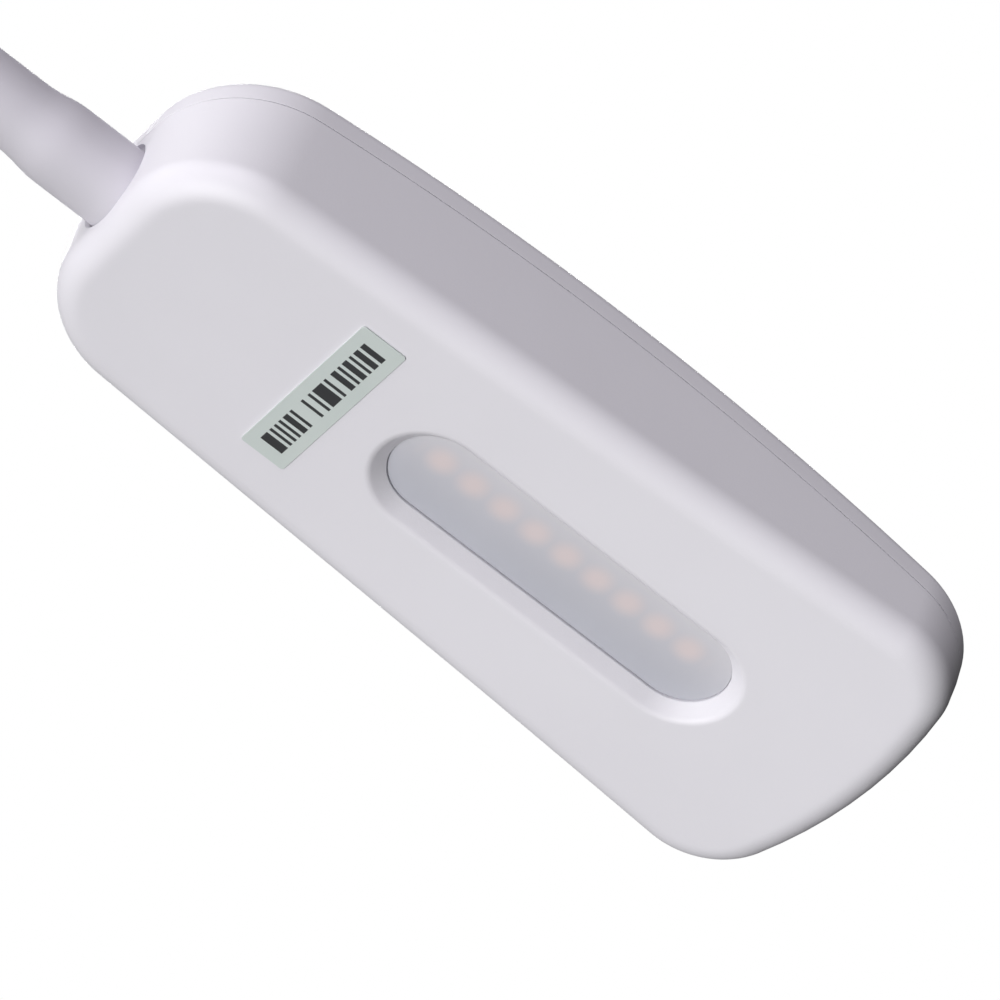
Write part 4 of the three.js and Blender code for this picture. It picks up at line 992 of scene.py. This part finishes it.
def add_neck(sleeve, hose, lead):
    """Each piece of the neck runs between the middles of two stretches."""
    wires, coils = wire_tree(), hose_tree()
    bends = len(NECK_BODIES) - 1
    for i in range(1, bends + 1):
        first, last = i == 1, i == bends
        start, end = (i - 0.5) * STRETCH, (i + 0.5) * STRETCH
        sleeve_start = GAP if first else start
        sleeve_end = NECK_LENGTH + HEAD_WALL if last else end
        hose_start = 0 if first else start
        hose_end = NECK_LENGTH if last else end
        lead_start = -NECK_FOOT + high("control_board").z + 8 if first else start
        lead_end = NECK_LENGTH + 20 if last else end
        mesh = sleeve_mesh(sleeve_start, sleeve_end)
        nodes = [f"neck_sleeve_{i}"] + ([f"neck_sleeve_{i + 1}"] if last else [])
        cover = piece(f"neck_sleeve_bend_{i}", mesh, sleeve, None, "sleeve", *nodes)

        turns = round((hose_end - hose_start) / HOSE_PITCH)
        half = (hose_end - hose_start) / turns / 2
        line = polyline(stops_between(hose_start + half, hose_end - half))
        ring_r = HOSE_R - HOSE_WIRE_R
        sizes = {"Coil Radius": ring_r * MM, "Wire Radius": HOSE_WIRE_R * MM}
        mesh = grown("hose", coils, line, Turns=turns, Material=hose, **sizes)
        nodes = [f"neck_hose_{i}"] + ([f"neck_hose_{i + 1}"] if last else [])
        wound = piece(f"neck_hose_bend_{i}", mesh, hose, None, "hose", *nodes, sharp=60)

        path = stops_between(lead_start, lead_end)
        if first:
            path = lead_into_case() + path
        if last:
            path = path + lead_to_board()
        mesh = grown("lead", wires, polyline(path), Radius=LEAD_R * MM, Sides=16, Material=lead)
        nodes = ["clip_lead" if first else f"neck_lead_{i}"] + (["head_lead"] if last else [])
        inner = piece(f"neck_lead_bend_{i}", mesh, lead, None, "lead", *nodes, sharp=60)

        for made in (cover, wound, inner):
            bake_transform(made)


def stops_between(start, end):
    count = max(2, ceil((end - start) / PATH_STEP))
    return [neck_point(start + (end - start) * i / count)[0] for i in range(count + 1)]


def eased(corners, radius):
    """A path through (x, z) corners in the middle plane, with each inner corner rounded."""
    path = [corners[0]]
    for before, here, after in zip(corners, corners[1:], corners[2:]):
        a, b, c = Vector(before), Vector(here), Vector(after)
        start = b + (a - b).normalized() * radius
        end = b + (c - b).normalized() * radius
        for step in range(7):
            t = step / 6
            path.append(tuple(start * (1 - t) ** 2 + 2 * b * t * (1 - t) + end * t**2))
    path.append(corners[-1])
    return [Vector((x, 0, z)) for x, z in path]


def lead_into_case():
    """From the control board, under the nut, and up into the neck."""
    level = high("control_board").z + GAP + LEAD_R
    corners = [(low("control_board").x + 3, level), (NECK_X, level + 1), (NECK_X, level + 7.5)]
    return eased(corners, 3.4)[:-1]


def lead_to_board():
    """From the fitting in the head down on to the end of the LED board."""
    level = high("led_board").z + GAP + LEAD_R
    end = low("led_board").x
    corners = [(HEAD_REAR + 24, NECK_Z), (end - 12, NECK_Z), (end - 5, level), (end + 1, level)]
    return eased(corners, 3)


def add_fittings(material):
    """Turned end fittings: a cup for the hose, a flange or collar, and a tail with a bore."""
    bore = LEAD_R + 0.5
    edge = 0.35
    for name, tail, stop, rim, thick, axis, at, facing, body in (
        ("base_ferrule", 12, -FLANGE, FLANGE_R, FLANGE, "z", (NECK_X, 0, NECK_FOOT), 1, "root"),
        ("head_ferrule", 22, -19.9, FERRULE_R + 1.2, 1.6, "x", (HEAD_REAR, 0, NECK_Z), -1, "head"),
    ):
        cup = FLARE_LENGTH - GAP
        profile = [
            (bore, -tail),
            (FERRULE_R - edge, -tail),
            (FERRULE_R, -tail + edge),
            (FERRULE_R, stop),
            (rim - edge, stop),
            (rim, stop + edge),
            (rim, stop + thick - edge),
            (rim - edge, stop + thick),
            (FERRULE_R, stop + thick),
            (FERRULE_R, cup - edge),
            (FERRULE_R - edge / 2, cup),
            (HOSE_R + GAP, cup),
            (HOSE_R + GAP, -GAP),
            (bore, -GAP),
        ]
        faced = [(radius, facing * height) for radius, height in profile]
        mesh = turned(name, faced, axis, at, 64, loop=True)
        piece(name + "_turned", mesh, material, body, "fitting", name)
    nut_low, nut_high = low("base_nut"), high("base_nut")
    across = (nut_high - nut_low).y / 2
    hexagon = [(across * sin(pi / 3 * k), across * cos(pi / 3 * k), 0.4) for k in range(6)]
    outline = [(NECK_X + x, y) for x, y in rounded(hexagon)]
    body = slab("nut", outline, (nut_low.z, nut_high.z), 0.35, upright=False)
    hole = rod(FERRULE_R + 0.15, nut_low.z - 1, nut_high.z + 1, "z", (NECK_X, 0, 0), 64)
    piece("base_nut_hex", carved(body, ("DIFFERENCE", hole)), material, "root", "fitting", "base_nut")


# ---------------------------------------------------------------- clip
def case_outline():
    """The case from the side: a blunt nose, a level roof and a tail that slopes down."""
    return rounded(
        [
            (CLIP_TIP, SHELL_BOTTOM, 3.2),
            (CLIP_TIP, SHELL_BOTTOM + 8, 7),
            (CLIP_TIP - 3.2, CLIP_TOP, 11.5),
            (CLIP_TAIL + 5, CLIP_TOP, 12),
            (CLIP_TAIL, 16, 6),
            (CLIP_TAIL, SHELL_BOTTOM + TAIL_LIFT, 3.2),
            (PIVOT.x - EAR_R, SHELL_BOTTOM, 6),
        ]
    )


def case_floor(x):
    start = PIVOT.x - EAR_R
    return SHELL_BOTTOM + TAIL_LIFT * max(0, (start - x) / (start - CLIP_TAIL))


def case_body():
    outline = case_outline()
    outside = slab("case", outline, (-HALF_CLIP, HALF_CLIP), EDGE)
    wall = SHELL_WALL
    inside = slab("room", set_in(outline, wall), (wall - HALF_CLIP, HALF_CLIP - wall), 0.8)
    return carved(outside, ("DIFFERENCE", inside))


def hole_with_edge(radius, start, end, axis, at, edge=0.35, sides=64):
    """A cutting tool whose far end opens out by `edge`, which leaves a small chamfer."""
    profile = [(radius, start), (radius, end - edge), (radius + 2 * edge, end + edge)]
    return turned("hole", profile, axis, at, sides)


def clip_shells(material):
    far = 200
    outline = case_outline()
    screws = [middle(f"shell_screw_{n}") for n in (1, 2, 3)]
    mouth_r = INLET_NOSE_R + GAP
    mouth = [(INLET_NOSE_R + 1, -1), (mouth_r, 0.4), (mouth_r, 4.2)]
    inlet = turned("inlet", mouth, "x", INLET_AT)
    room = slab("room", set_in(outline, SHELL_WALL - 0.4), (2 - HALF_CLIP, HALF_CLIP - 2), 0)
    steps = [("INTERSECT", block((-far, far), (-far, far), (SHELL_HIGH, CLIP_TOP + 5)))]
    for at in screws:
        boss = rod(BOSS_R, SHELL_HIGH, CLIP_TOP, "z", (at.x, at.y, 0))
        steps.append(("UNION", carved(boss, ("INTERSECT", room.copy()))))
    for at in screws:
        steps.append(("DIFFERENCE", rod(HOLE_R, SHELL_HIGH - 1, 21, "z", (at.x, at.y, 0), 24)))
    roof_inside = CLIP_TOP - SHELL_WALL - 1
    button = (BUTTON_AT.x, 0, 0)
    steps.append(("DIFFERENCE", hole_with_edge(BUTTON_R + GAP, roof_inside, CLIP_TOP, "z", button)))
    neck = (NECK_X, 0, 0)
    steps.append(("DIFFERENCE", rod(FERRULE_R + GAP, roof_inside, CLIP_TOP + 1, "z", neck)))
    steps.append(("DIFFERENCE", inlet.copy()))
    mesh = carved(case_body(), *steps)
    piece("clip_case_upper", mesh, material, "root", "shell", "clip_top_shell")

    steps = [("INTERSECT", block((-far, far), (-far, far), (-5, SHELL_LOW)))]
    for at in screws:
        foot = case_floor(at.x) + SHELL_WALL / 2
        steps.append(("UNION", rod(BOSS_R, foot, SHELL_LOW, "z", (at.x, at.y, 0))))
    board_screws = [middle(f"control_screw_{n}") for n in (1, 2)]
    for at in board_screws:
        stand = (SHELL_BOTTOM + SHELL_WALL - 0.4, low("control_board").z - GAP)
        steps.append(("UNION", rod(POST_R, *stand, "z", (at.x, at.y, 0))))
    for side in (-1, 1):
        steps.append(("UNION", ear(side)))
    for at in screws:
        place = (at.x, at.y, 0)
        seat = case_floor(at.x) + 2 * GAP + SCREW[1]
        steps.append(("DIFFERENCE", rod(HOLE_R, 0, SHELL_LOW + 1, "z", place, 24)))
        steps.append(("DIFFERENCE", rod(SEAT_R, SHELL_BOTTOM - 1, seat, "z", place)))
    for at in board_screws:
        hole = rod(SMALL_HOLE_R, SHELL_BOTTOM + 1, 9, "z", (at.x, at.y, 0), 24)
        steps.append(("DIFFERENCE", hole))
    steps.append(("DIFFERENCE", rod(PIN_R + GAP, -HALF_CLIP - 1, HALF_CLIP + 1, "y", PIVOT)))
    steps.append(("DIFFERENCE", inlet))
    mesh = carved(case_body(), *steps)
    piece("clip_case_lower", mesh, material, "root", "shell", "clip_bottom_shell")


def ear(side):
    """A rounded ear under each side of the case, which carries the pivot pin."""
    top = SHELL_BOTTOM + SHELL_WALL / 2
    x, z = PIVOT.x, PIVOT.z
    outline = [(x - EAR_R, top)]
    for step in range(25):
        angle = pi + pi * step / 24
        outline.append((x + EAR_R * cos(angle), z + EAR_R * sin(angle)))
    outline.append((x + EAR_R, top))
    inner, outer = EAR_OUT - EAR_THICK, EAR_OUT
    span = (inner, outer) if side > 0 else (-outer, -inner)
    return slab("ear", outline, span, 0.6)


LEVER_START = Vector((PIVOT.x - PIVOT_R - 1.7, PIVOT.z - 3.5))
LEVER_RUN = LEVER_START.x - CLIP_TAIL
LEVER_ANGLE = atan2(LEVER_DROP, LEVER_RUN)
LEVER_LENGTH = hypot(LEVER_RUN, LEVER_DROP)


def lever_point(reach, depth):
    """A point so far along the lever and so deep under its inner edge."""
    back, down = cos(LEVER_ANGLE), sin(LEVER_ANGLE)
    return LEVER_START.x - reach * back + depth * down, LEVER_START.y - reach * down - depth * back


def jaw_outline():
    sole = JAW_TOP - JAW_PLATE
    x, z = PIVOT.x, PIVOT.z
    front = rounded(
        [
            (*lever_point(LEVER_LENGTH, 0), 3),
            (*lever_point(LEVER_LENGTH, LEVER_THICK), 4),
            (*lever_point(8, LEVER_THICK), 9),
            (x - 1, sole - 4.7, 14),
            (CLIP_TIP - 12, sole, 12),
            (CLIP_TIP, sole, 5),
            (CLIP_TIP, JAW_TOP, 1.7),
            (x + PIVOT_R + 2, JAW_TOP, 0),
            (x + PIVOT_R, z, 0),
            (x, z + 2 * PIVOT_R, 0),
            (x - PIVOT_R, z, 0),
            (*LEVER_START, 1.5),
        ]
    )
    # The knuckle's round top takes the place of its corner.
    corner_z = z + 2 * PIVOT_R
    peak = min(range(len(front)), key=lambda i: hypot(front[i][0] - x, front[i][1] - corner_z))
    angles = [pi * k / 24 for k in range(1, 24)]
    knuckle = [(x + PIVOT_R * cos(angle), z + PIVOT_R * sin(angle)) for angle in angles]
    return front[:peak] + knuckle + front[peak + 1 :]


def moving_jaw(material):
    body = slab("jaw", jaw_outline(), (-HALF_CLIP, HALF_CLIP), JAW_EDGE)
    floor = LEVER_THICK - JAW_WALL
    corners = [(1, -4), (LEVER_LENGTH - JAW_WALL, -4), (LEVER_LENGTH - JAW_WALL, floor), (1, floor)]
    radii = (0, 0, 1.6, 0.6)
    pocket = rounded([(*lever_point(*corner), radius) for corner, radius in zip(corners, radii)])
    half = HALF_CLIP - JAW_WALL
    coil_half = ((COIL_TURNS + 1) * COIL_PITCH) / 2 + WIRE_R + 1
    coil_room = PIVOT_R + 0.2
    lane = (-coil_half, coil_half)
    spring_way = (PIVOT.z - coil_room - 3, PIVOT.z + 2 * coil_room)
    steps = [
        ("DIFFERENCE", slab("pocket", pocket, (-half, half), 0.5)),
        ("DIFFERENCE", rod(coil_room, *lane, "y", PIVOT, 48)),
        ("DIFFERENCE", block((PIVOT.x - coil_room - 5, PIVOT.x), lane, spring_way)),
        ("DIFFERENCE", rod(PIN_R + GAP, -HALF_CLIP, HALF_CLIP, "y", PIVOT)),
    ]
    ear_room = EAR_R + 1
    knuckle_half = EAR_OUT - EAR_THICK - 2 * GAP
    for side in (-1, 1):
        span = sorted((side * knuckle_half, side * (HALF_CLIP + 1)))
        steps.append(("DIFFERENCE", rod(ear_room, *span, "y", PIVOT, 64)))
        across = (PIVOT.x - ear_room, PIVOT.x + ear_room)
        steps.append(("DIFFERENCE", block(across, span, (PIVOT.z, CLIP_TOP))))
    piece("jaw_lever", carved(body, *steps), material, "jaw", "shell", "moving_jaw")


def jaw_pads(material):
    """A plate with rounded corners and a row of ribs on its gripping face."""
    ribs = rib_tree()
    for name, node, body, grip_down in (
        ("upper_pad_ribbed", "upper_pad", "root", True),
        ("lower_pad_ribbed", "lower_pad", "jaw", False),
    ):
        a, b = low(node), high(node)
        outline = rounded(oblong(a.xy, b.xy, PAD_CORNER))
        plate = (a.z + RIB_R, b.z) if grip_down else (a.z, b.z - RIB_R)
        mesh = slab("pad", outline, plate, 0.3, upright=False)
        count = int((b.x - a.x - PAD_CORNER) / RIB_PITCH) + 1
        level = plate[0] if grip_down else plate[1]
        first = Vector((middle(node).x - RIB_PITCH * (count - 1) / 2, 0, level)) * MM
        length = (b.y - a.y - PAD_CORNER) * MM
        sizes = {"Rib Radius": RIB_R * MM, "Rib Length": length, "Pitch": RIB_PITCH * MM}
        mesh = grown(name, ribs, mesh, Ribs=count, First=first, Material=material, **sizes)
        piece(name, mesh, material, body, "pad", node, sharp=40)


def torsion_spring(material):
    """One wire: a leg under the case, the coil round the pin, and a leg on the lever's floor."""
    leg_end = case_floor(PIVOT.x - LEG_LENGTH) - WIRE_R - 1.5 * GAP
    upper = atan2(leg_end - PIVOT.z - COIL_R, LEG_LENGTH)
    sweep = COIL_TURNS * 2 * pi + pi + upper + LEVER_ANGLE
    points = []
    steps = ceil(sweep / radians(9))
    for step in range(steps + 1):
        swept = sweep * step / steps
        angle = pi / 2 - upper - swept
        y = COIL_PITCH * (swept - sweep / 2) / (2 * pi)
        points.append(PIVOT + Vector((COIL_R * cos(angle), y, COIL_R * sin(angle))))
    rise = Vector((-cos(upper), 0, sin(upper)))
    fall = Vector((-cos(LEVER_ANGLE), 0, -sin(LEVER_ANGLE)))
    points = [points[0] + rise * LEG_LENGTH, *points, points[-1] + fall * LEG_LENGTH]
    sizes = {"Radius": WIRE_R * MM, "Sides": 14, "Material": material}
    mesh = grown("spring", wire_tree(), polyline(points), **sizes)
    made = piece("spring_wire", mesh, material, None, "steel", "torsion_spring", sharp=60)
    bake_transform(made)


def pivot_pin(material):
    half = high("pivot_pin").y
    dome = 0.5
    flank = half - dome
    profile = [(PIN_R - dome, -half), (PIN_R, -flank), (PIN_R, flank), (PIN_R - dome, half)]
    mesh = turned("pin", profile, "y", PIVOT)
    piece("hinge_pin", mesh, material, "root", "steel", "pivot_pin")


def power_button(material):
    """The button: a dished cap with a rounded rim, a flange under the roof and a stem."""
    foot, top = low("power_button").z, high("power_button").z
    flange = CLIP_TOP - SHELL_WALL - GAP
    rim = 0.8
    profile = [(2.1, foot), (2.5, foot + 0.4), (2.5, flange - 1.6), (BUTTON_R + 1.5, flange - 1.6)]
    profile += [(BUTTON_R + 1.5, flange), (BUTTON_R, flange)]
    for step in range(7):
        angle = pi / 2 * step / 6
        profile.append((BUTTON_R - rim * (1 - cos(angle)), top - rim + rim * sin(angle)))
    dish = BUTTON_R - rim - 0.5
    for step in range(7):
        t = step / 6
        profile.append((dish * (1 - t) + 0.01, top - 0.5 * (1 - (1 - t) ** 2)))
    mesh = turned("button", profile, "z", (BUTTON_AT.x, 0, 0), 72)
    piece("power_button_cap", mesh, material, "button", "button", "power_button", sharp=30)


def dc_inlet(material):
    """Barrel inlet: a round nose in the tail wall, its bore and the contact pin."""
    a, b = low("dc_inlet"), high("dc_inlet")
    edge = 0.3
    outline = rounded(oblong(a.yz, b.yz, 0.5))
    back = CLIP_TAIL + SHELL_WALL + GAP
    levels = ((edge, back), (0, back + edge), (0, b.x - edge), (edge, b.x))
    rings = [[(x, y, z) for y, z in set_in(outline, inset)] for inset, x in levels]
    body = loft("inlet_body", rings, capped=True)
    profile = [(INLET_NOSE_R - edge, GAP), (INLET_NOSE_R, GAP + edge), (INLET_NOSE_R, 4)]
    nose = turned("nose", profile, "x", INLET_AT)
    bore = rod(INLET_BORE_R, -1, 10, "x", INLET_AT)
    pin = turned("pin", [(0.6, 2), (1, 2.5), (1, 11)], "x", INLET_AT, 32)
    steps = [("UNION", nose), ("DIFFERENCE", bore), ("UNION", pin)]
    piece("dc_inlet_socket", carved(body, *steps), material, "root", "contact", "dc_inlet")


def add_screws(material):
    """Every set of screws is one mesh, made by the same tree."""
    tree = screw_tree()
    for name, body, stem, count, size, upward in (
        ("shell_screws", "root", "shell_screw", 3, SCREW, True),
        ("control_board_screws", "root", "control_screw", 2, SMALL_SCREW, False),
        ("led_board_screws", "head", "board_screw", 2, SMALL_SCREW, False),
        ("clamp_screws", "head", "clamp_screw", 2, SMALL_SCREW, False),
    ):
        head_r, head, shank_r = size
        nodes = [f"{stem}_{n}" for n in range(1, count + 1)]
        points = []
        for node in nodes:
            outer = low(node).z if upward else high(node).z
            points.append((middle(node).x, middle(node).y, outer))
        length = (high(nodes[0]) - low(nodes[0])).z - head
        seeds = bpy.data.meshes.new("places")
        seeds.from_pydata([Vector(p) * MM for p in points], [], [])
        sizes = {
            "Head Radius": head_r * MM,
            "Head Height": head * MM,
            "Shank Radius": shank_r * MM,
            "Shank Length": (length - 0.25) * MM,
            "Turn": (0, 0, 0) if upward else (pi, 0, 0),
        }
        mesh = grown(name, tree, seeds, Material=material, **sizes)
        piece(name, mesh, material, body, "steel", *nodes)


def neck_clamp(material):
    """A pressed bar over the fitting in the head, with its edges broken."""
    a, b = low("neck_clamp"), high("neck_clamp")
    centre = middle("neck_clamp").x
    hump = FERRULE_R + 2
    bar = a.z + 2.5
    outline = rounded(
        [
            (a.y, a.z, 0.4),
            (b.y, a.z, 0.4),
            (b.y, bar, 0.8),
            (hump, bar, 0.5),
            (hump, b.z, 1.6),
            (-hump, b.z, 1.6),
            (-hump, bar, 0.5),
            (a.y, bar, 0.8),
        ]
    )
    levels = ((0.3, a.x), (0, a.x + 0.3), (0, b.x - 0.3), (0.3, b.x))
    rings = [[(x, y, z) for y, z in set_in(outline, inset)] for inset, x in levels]
    body = loft("clamp", rings, capped=True)
    steps = [("DIFFERENCE", rod(FERRULE_R + 0.15, a.x - 1, b.x + 1, "x", (0, 0, NECK_Z), 64))]
    for n in (1, 2):
        at = (centre, middle(f"clamp_screw_{n}").y, 0)
        steps.append(("DIFFERENCE", rod(SMALL_HOLE_R, a.z - 1, b.z + 1, "z", at, 24)))
    piece("fitting_clamp", carved(body, *steps), material, "head", "steel", "neck_clamp")


def finish_node(node, material):
    """A better finish on a CAD node that stays."""
    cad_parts[node].material_slots[0].material = material


# ---------------------------------------------------------------- studio
def add_floor():
    """A plain pale floor, well below the lamp so that it throws nothing back on it."""
    half = 60000
    level = -2600
    corners = [(x, y, level) for x, y, _ in oblong((-half, -half), (half, half), 0)]
    mesh = bpy.data.meshes.new("floor")
    mesh.from_pydata([Vector(p) * MM for p in corners], [], [(0, 1, 2, 3)])
    floor = bpy.data.objects.new("floor", mesh)
    bpy.context.scene.collection.objects.link(floor)
    material, tree, place = start_material("pale_floor")
    end_material(
        tree,
        Base_Color=mottled(tree, place, 900, "F3F3F4", "F2F2F3"),
        Roughness=0.9,
        Emission_Color=linear("FFFFFF"),
        Emission_Strength=0.36,
    )
    mesh.materials.append(material)
    floor.visible_diffuse = False
    floor.visible_glossy = False


def add_softbox(name, toward, strength, distance, size, colour):
    """A square softbox on the side given, aimed at the head. Strength 1 lights white to white."""
    data = bpy.data.lights.new(name, "AREA")
    data.shape = "SQUARE"
    data.size = size * MM
    data.color = linear(colour)[:3]
    data.energy = strength * (pi * distance * MM) ** 2
    light = bpy.data.objects.new(name, data)
    bpy.context.scene.collection.objects.link(light)
    out = Vector(toward).normalized()
    light.location = (SLOT_AT + out * distance) * MM
    light.rotation_euler = out.to_track_quat("Z", "Y").to_euler()
    light.visible_camera = False


def add_studio():
    scene = bpy.context.scene
    scene.view_settings.view_transform = "Standard"
    world = bpy.data.worlds.new("studio")
    scene.world = world
    world.use_nodes = True
    tree = world.node_tree
    tree.nodes.clear()
    # The room is dim, and darkest towards the head's front. Where it is seen directly it is white.
    heading = add(tree, "ShaderNodeTexCoord").outputs["Generated"]
    axes = add(tree, "ShaderNodeSeparateXYZ", {"Vector": heading})
    fall = {"Value": axes.outputs["X"], "From Min": -1, "From Max": 0.9}
    level = add(tree, "ShaderNodeMapRange", {**fall, "To Min": 0.32, "To Max": 0.02})
    white = linear("FFFFFF")
    dim = {"Color": white, "Strength": level.outputs["Result"]}
    room = add(tree, "ShaderNodeBackground", dim)
    seen = add(tree, "ShaderNodeBackground", {"Color": white, "Strength": 1.0})
    ray = add(tree, "ShaderNodeLightPath").outputs["Is Camera Ray"]
    shown = {0: ray, 1: room.outputs[0], 2: seen.outputs[0]}
    mix = add(tree, "ShaderNodeMixShader", shown)
    add(tree, "ShaderNodeOutputWorld", {"Surface": mix.outputs[0]})
    add_softbox("rear_softbox", (-0.96, 0, 0.29), 0.3, 900, 700, "FFFFFF")
    add_softbox("low_softbox", (-0.46, 0, -0.89), 0.98, 1500, 1040, "FFFFFF")
    add_softbox("side_softbox", (-0.62, -0.8, 0), 0.36, 1200, 700, "FBF6FF")
    data = bpy.data.lights.new("top_light", "SUN")
    data.energy = 2.0
    data.angle = radians(25)
    sun = bpy.data.objects.new("top_light", data)
    scene.collection.objects.link(sun)
    sun.rotation_euler = Vector((0.1, 0.6, 0.79)).to_track_quat("Z", "Y").to_euler()


# ---------------------------------------------------------------- making
add_camera()
add_floor()
add_studio()

# White ABS from a spark-eroded mould: a soft, even white with a fine satin grain.
abs_tones = (38, "EBE9EF", "E9E7ED")
abs_white = even_finish("white_abs_moulded", abs_tones, (9, 0.4, 0.5), (0.45, 0.012), IOR=1.53)
# Extruded silicone rubber: matt, a shade greyer than the ABS, and faintly dusty.
silicone_tones = (14, "D8D5DD", "D5D2DA")
silicone_gloss = (4, 0.55, 0.68)
silicone = even_finish(
    "white_silicone_extruded", silicone_tones, silicone_gloss, (0.6, 0.015), IOR=1.41
)
# Moulded TPE of the jaw pads: soft grey and matt, rubbed lighter in patches.
rubber_tones = (5, "A9AAB0", "9D9EA5", 5)
rubber = even_finish("grey_tpe_moulded", rubber_tones, (2, 0.72, 0.88), (0.35, 0.03), IOR=1.5)
# Zinc-plated steel of the screws, spring and clamp: bright grey with a faint cloudy bloom.
zinc_tones = (1.6, "C4C7CA", "A9ADB3", 4)
zinc_gloss = (0.9, 0.26, 0.42)
steel = even_finish("zinc_plated_steel", zinc_tones, zinc_gloss, (0.3, 0.004), Metallic=1.0)
# Nickel-plated turned brass of the neck's fittings: warm grey with a fine turned surface.
nickel_tones = (3, "CFCDC8", "BDBAB4")
nickel_gloss = (1.2, 0.2, 0.32)
brass = even_finish("nickel_plated_brass", nickel_tones, nickel_gloss, (0.25, 0.003), Metallic=1.0)
# Wound stainless wire of the gooseneck: mottled grey, lightly oiled.
wire_tones = (2, "B4B3B1", "8F8E8D", 4)
wire_gloss = (0.8, 0.3, 0.5)
hose = even_finish("stainless_wound_wire", wire_tones, wire_gloss, (0.2, 0.004), Metallic=1.0)
# Extruded PVC jacket of the inner lead: white, satin and slightly uneven.
jacket_tones = (3, "DFDFE1", "D3D3D6")
jacket = even_finish("white_pvc_jacket", jacket_tones, (2, 0.42, 0.58), (0.4, 0.01), IOR=1.53)
# LED chip: yellow phosphor in clear silicone, specked with its powder.
chip_tones = (0.35, "F4D98C", "E6C060", 3)
chip = even_finish("led_phosphor", chip_tones, (0.8, 0.22, 0.34), (0.3, 0.01), IOR=1.41)
# Black glass-filled nylon of the inlet and the switch: dark, with a dry speckled skin.
nylon_tones = (0.9, "2E2F32", "242528", 4)
nylon_gloss = (1.5, 0.45, 0.6)
nylon = even_finish("black_nylon_moulded", nylon_tones, nylon_gloss, (0.3, 0.015), IOR=1.53)

head_housing(abs_white)
head_cover(abs_white)
diffuser(opal_diffuser())
rating_label(printed_label())
add_neck(silicone, hose, jacket)
add_fittings(brass)
clip_shells(abs_white)
moving_jaw(abs_white)
jaw_pads(rubber)
torsion_spring(steel)
pivot_pin(steel)
power_button(abs_white)
dc_inlet(nylon)
add_screws(steel)
neck_clamp(steel)

finish_node("tact_switch", nylon)
finish_node("control_board", coated_board("green_solder_mask", "2F6B4A", "275C40"))
finish_node("led_board", coated_board("white_solder_mask", "F0F0EC", "E6E6E1"))
for number in range(1, LED_COUNT + 1):
    finish_node(f"led_{number}", chip)
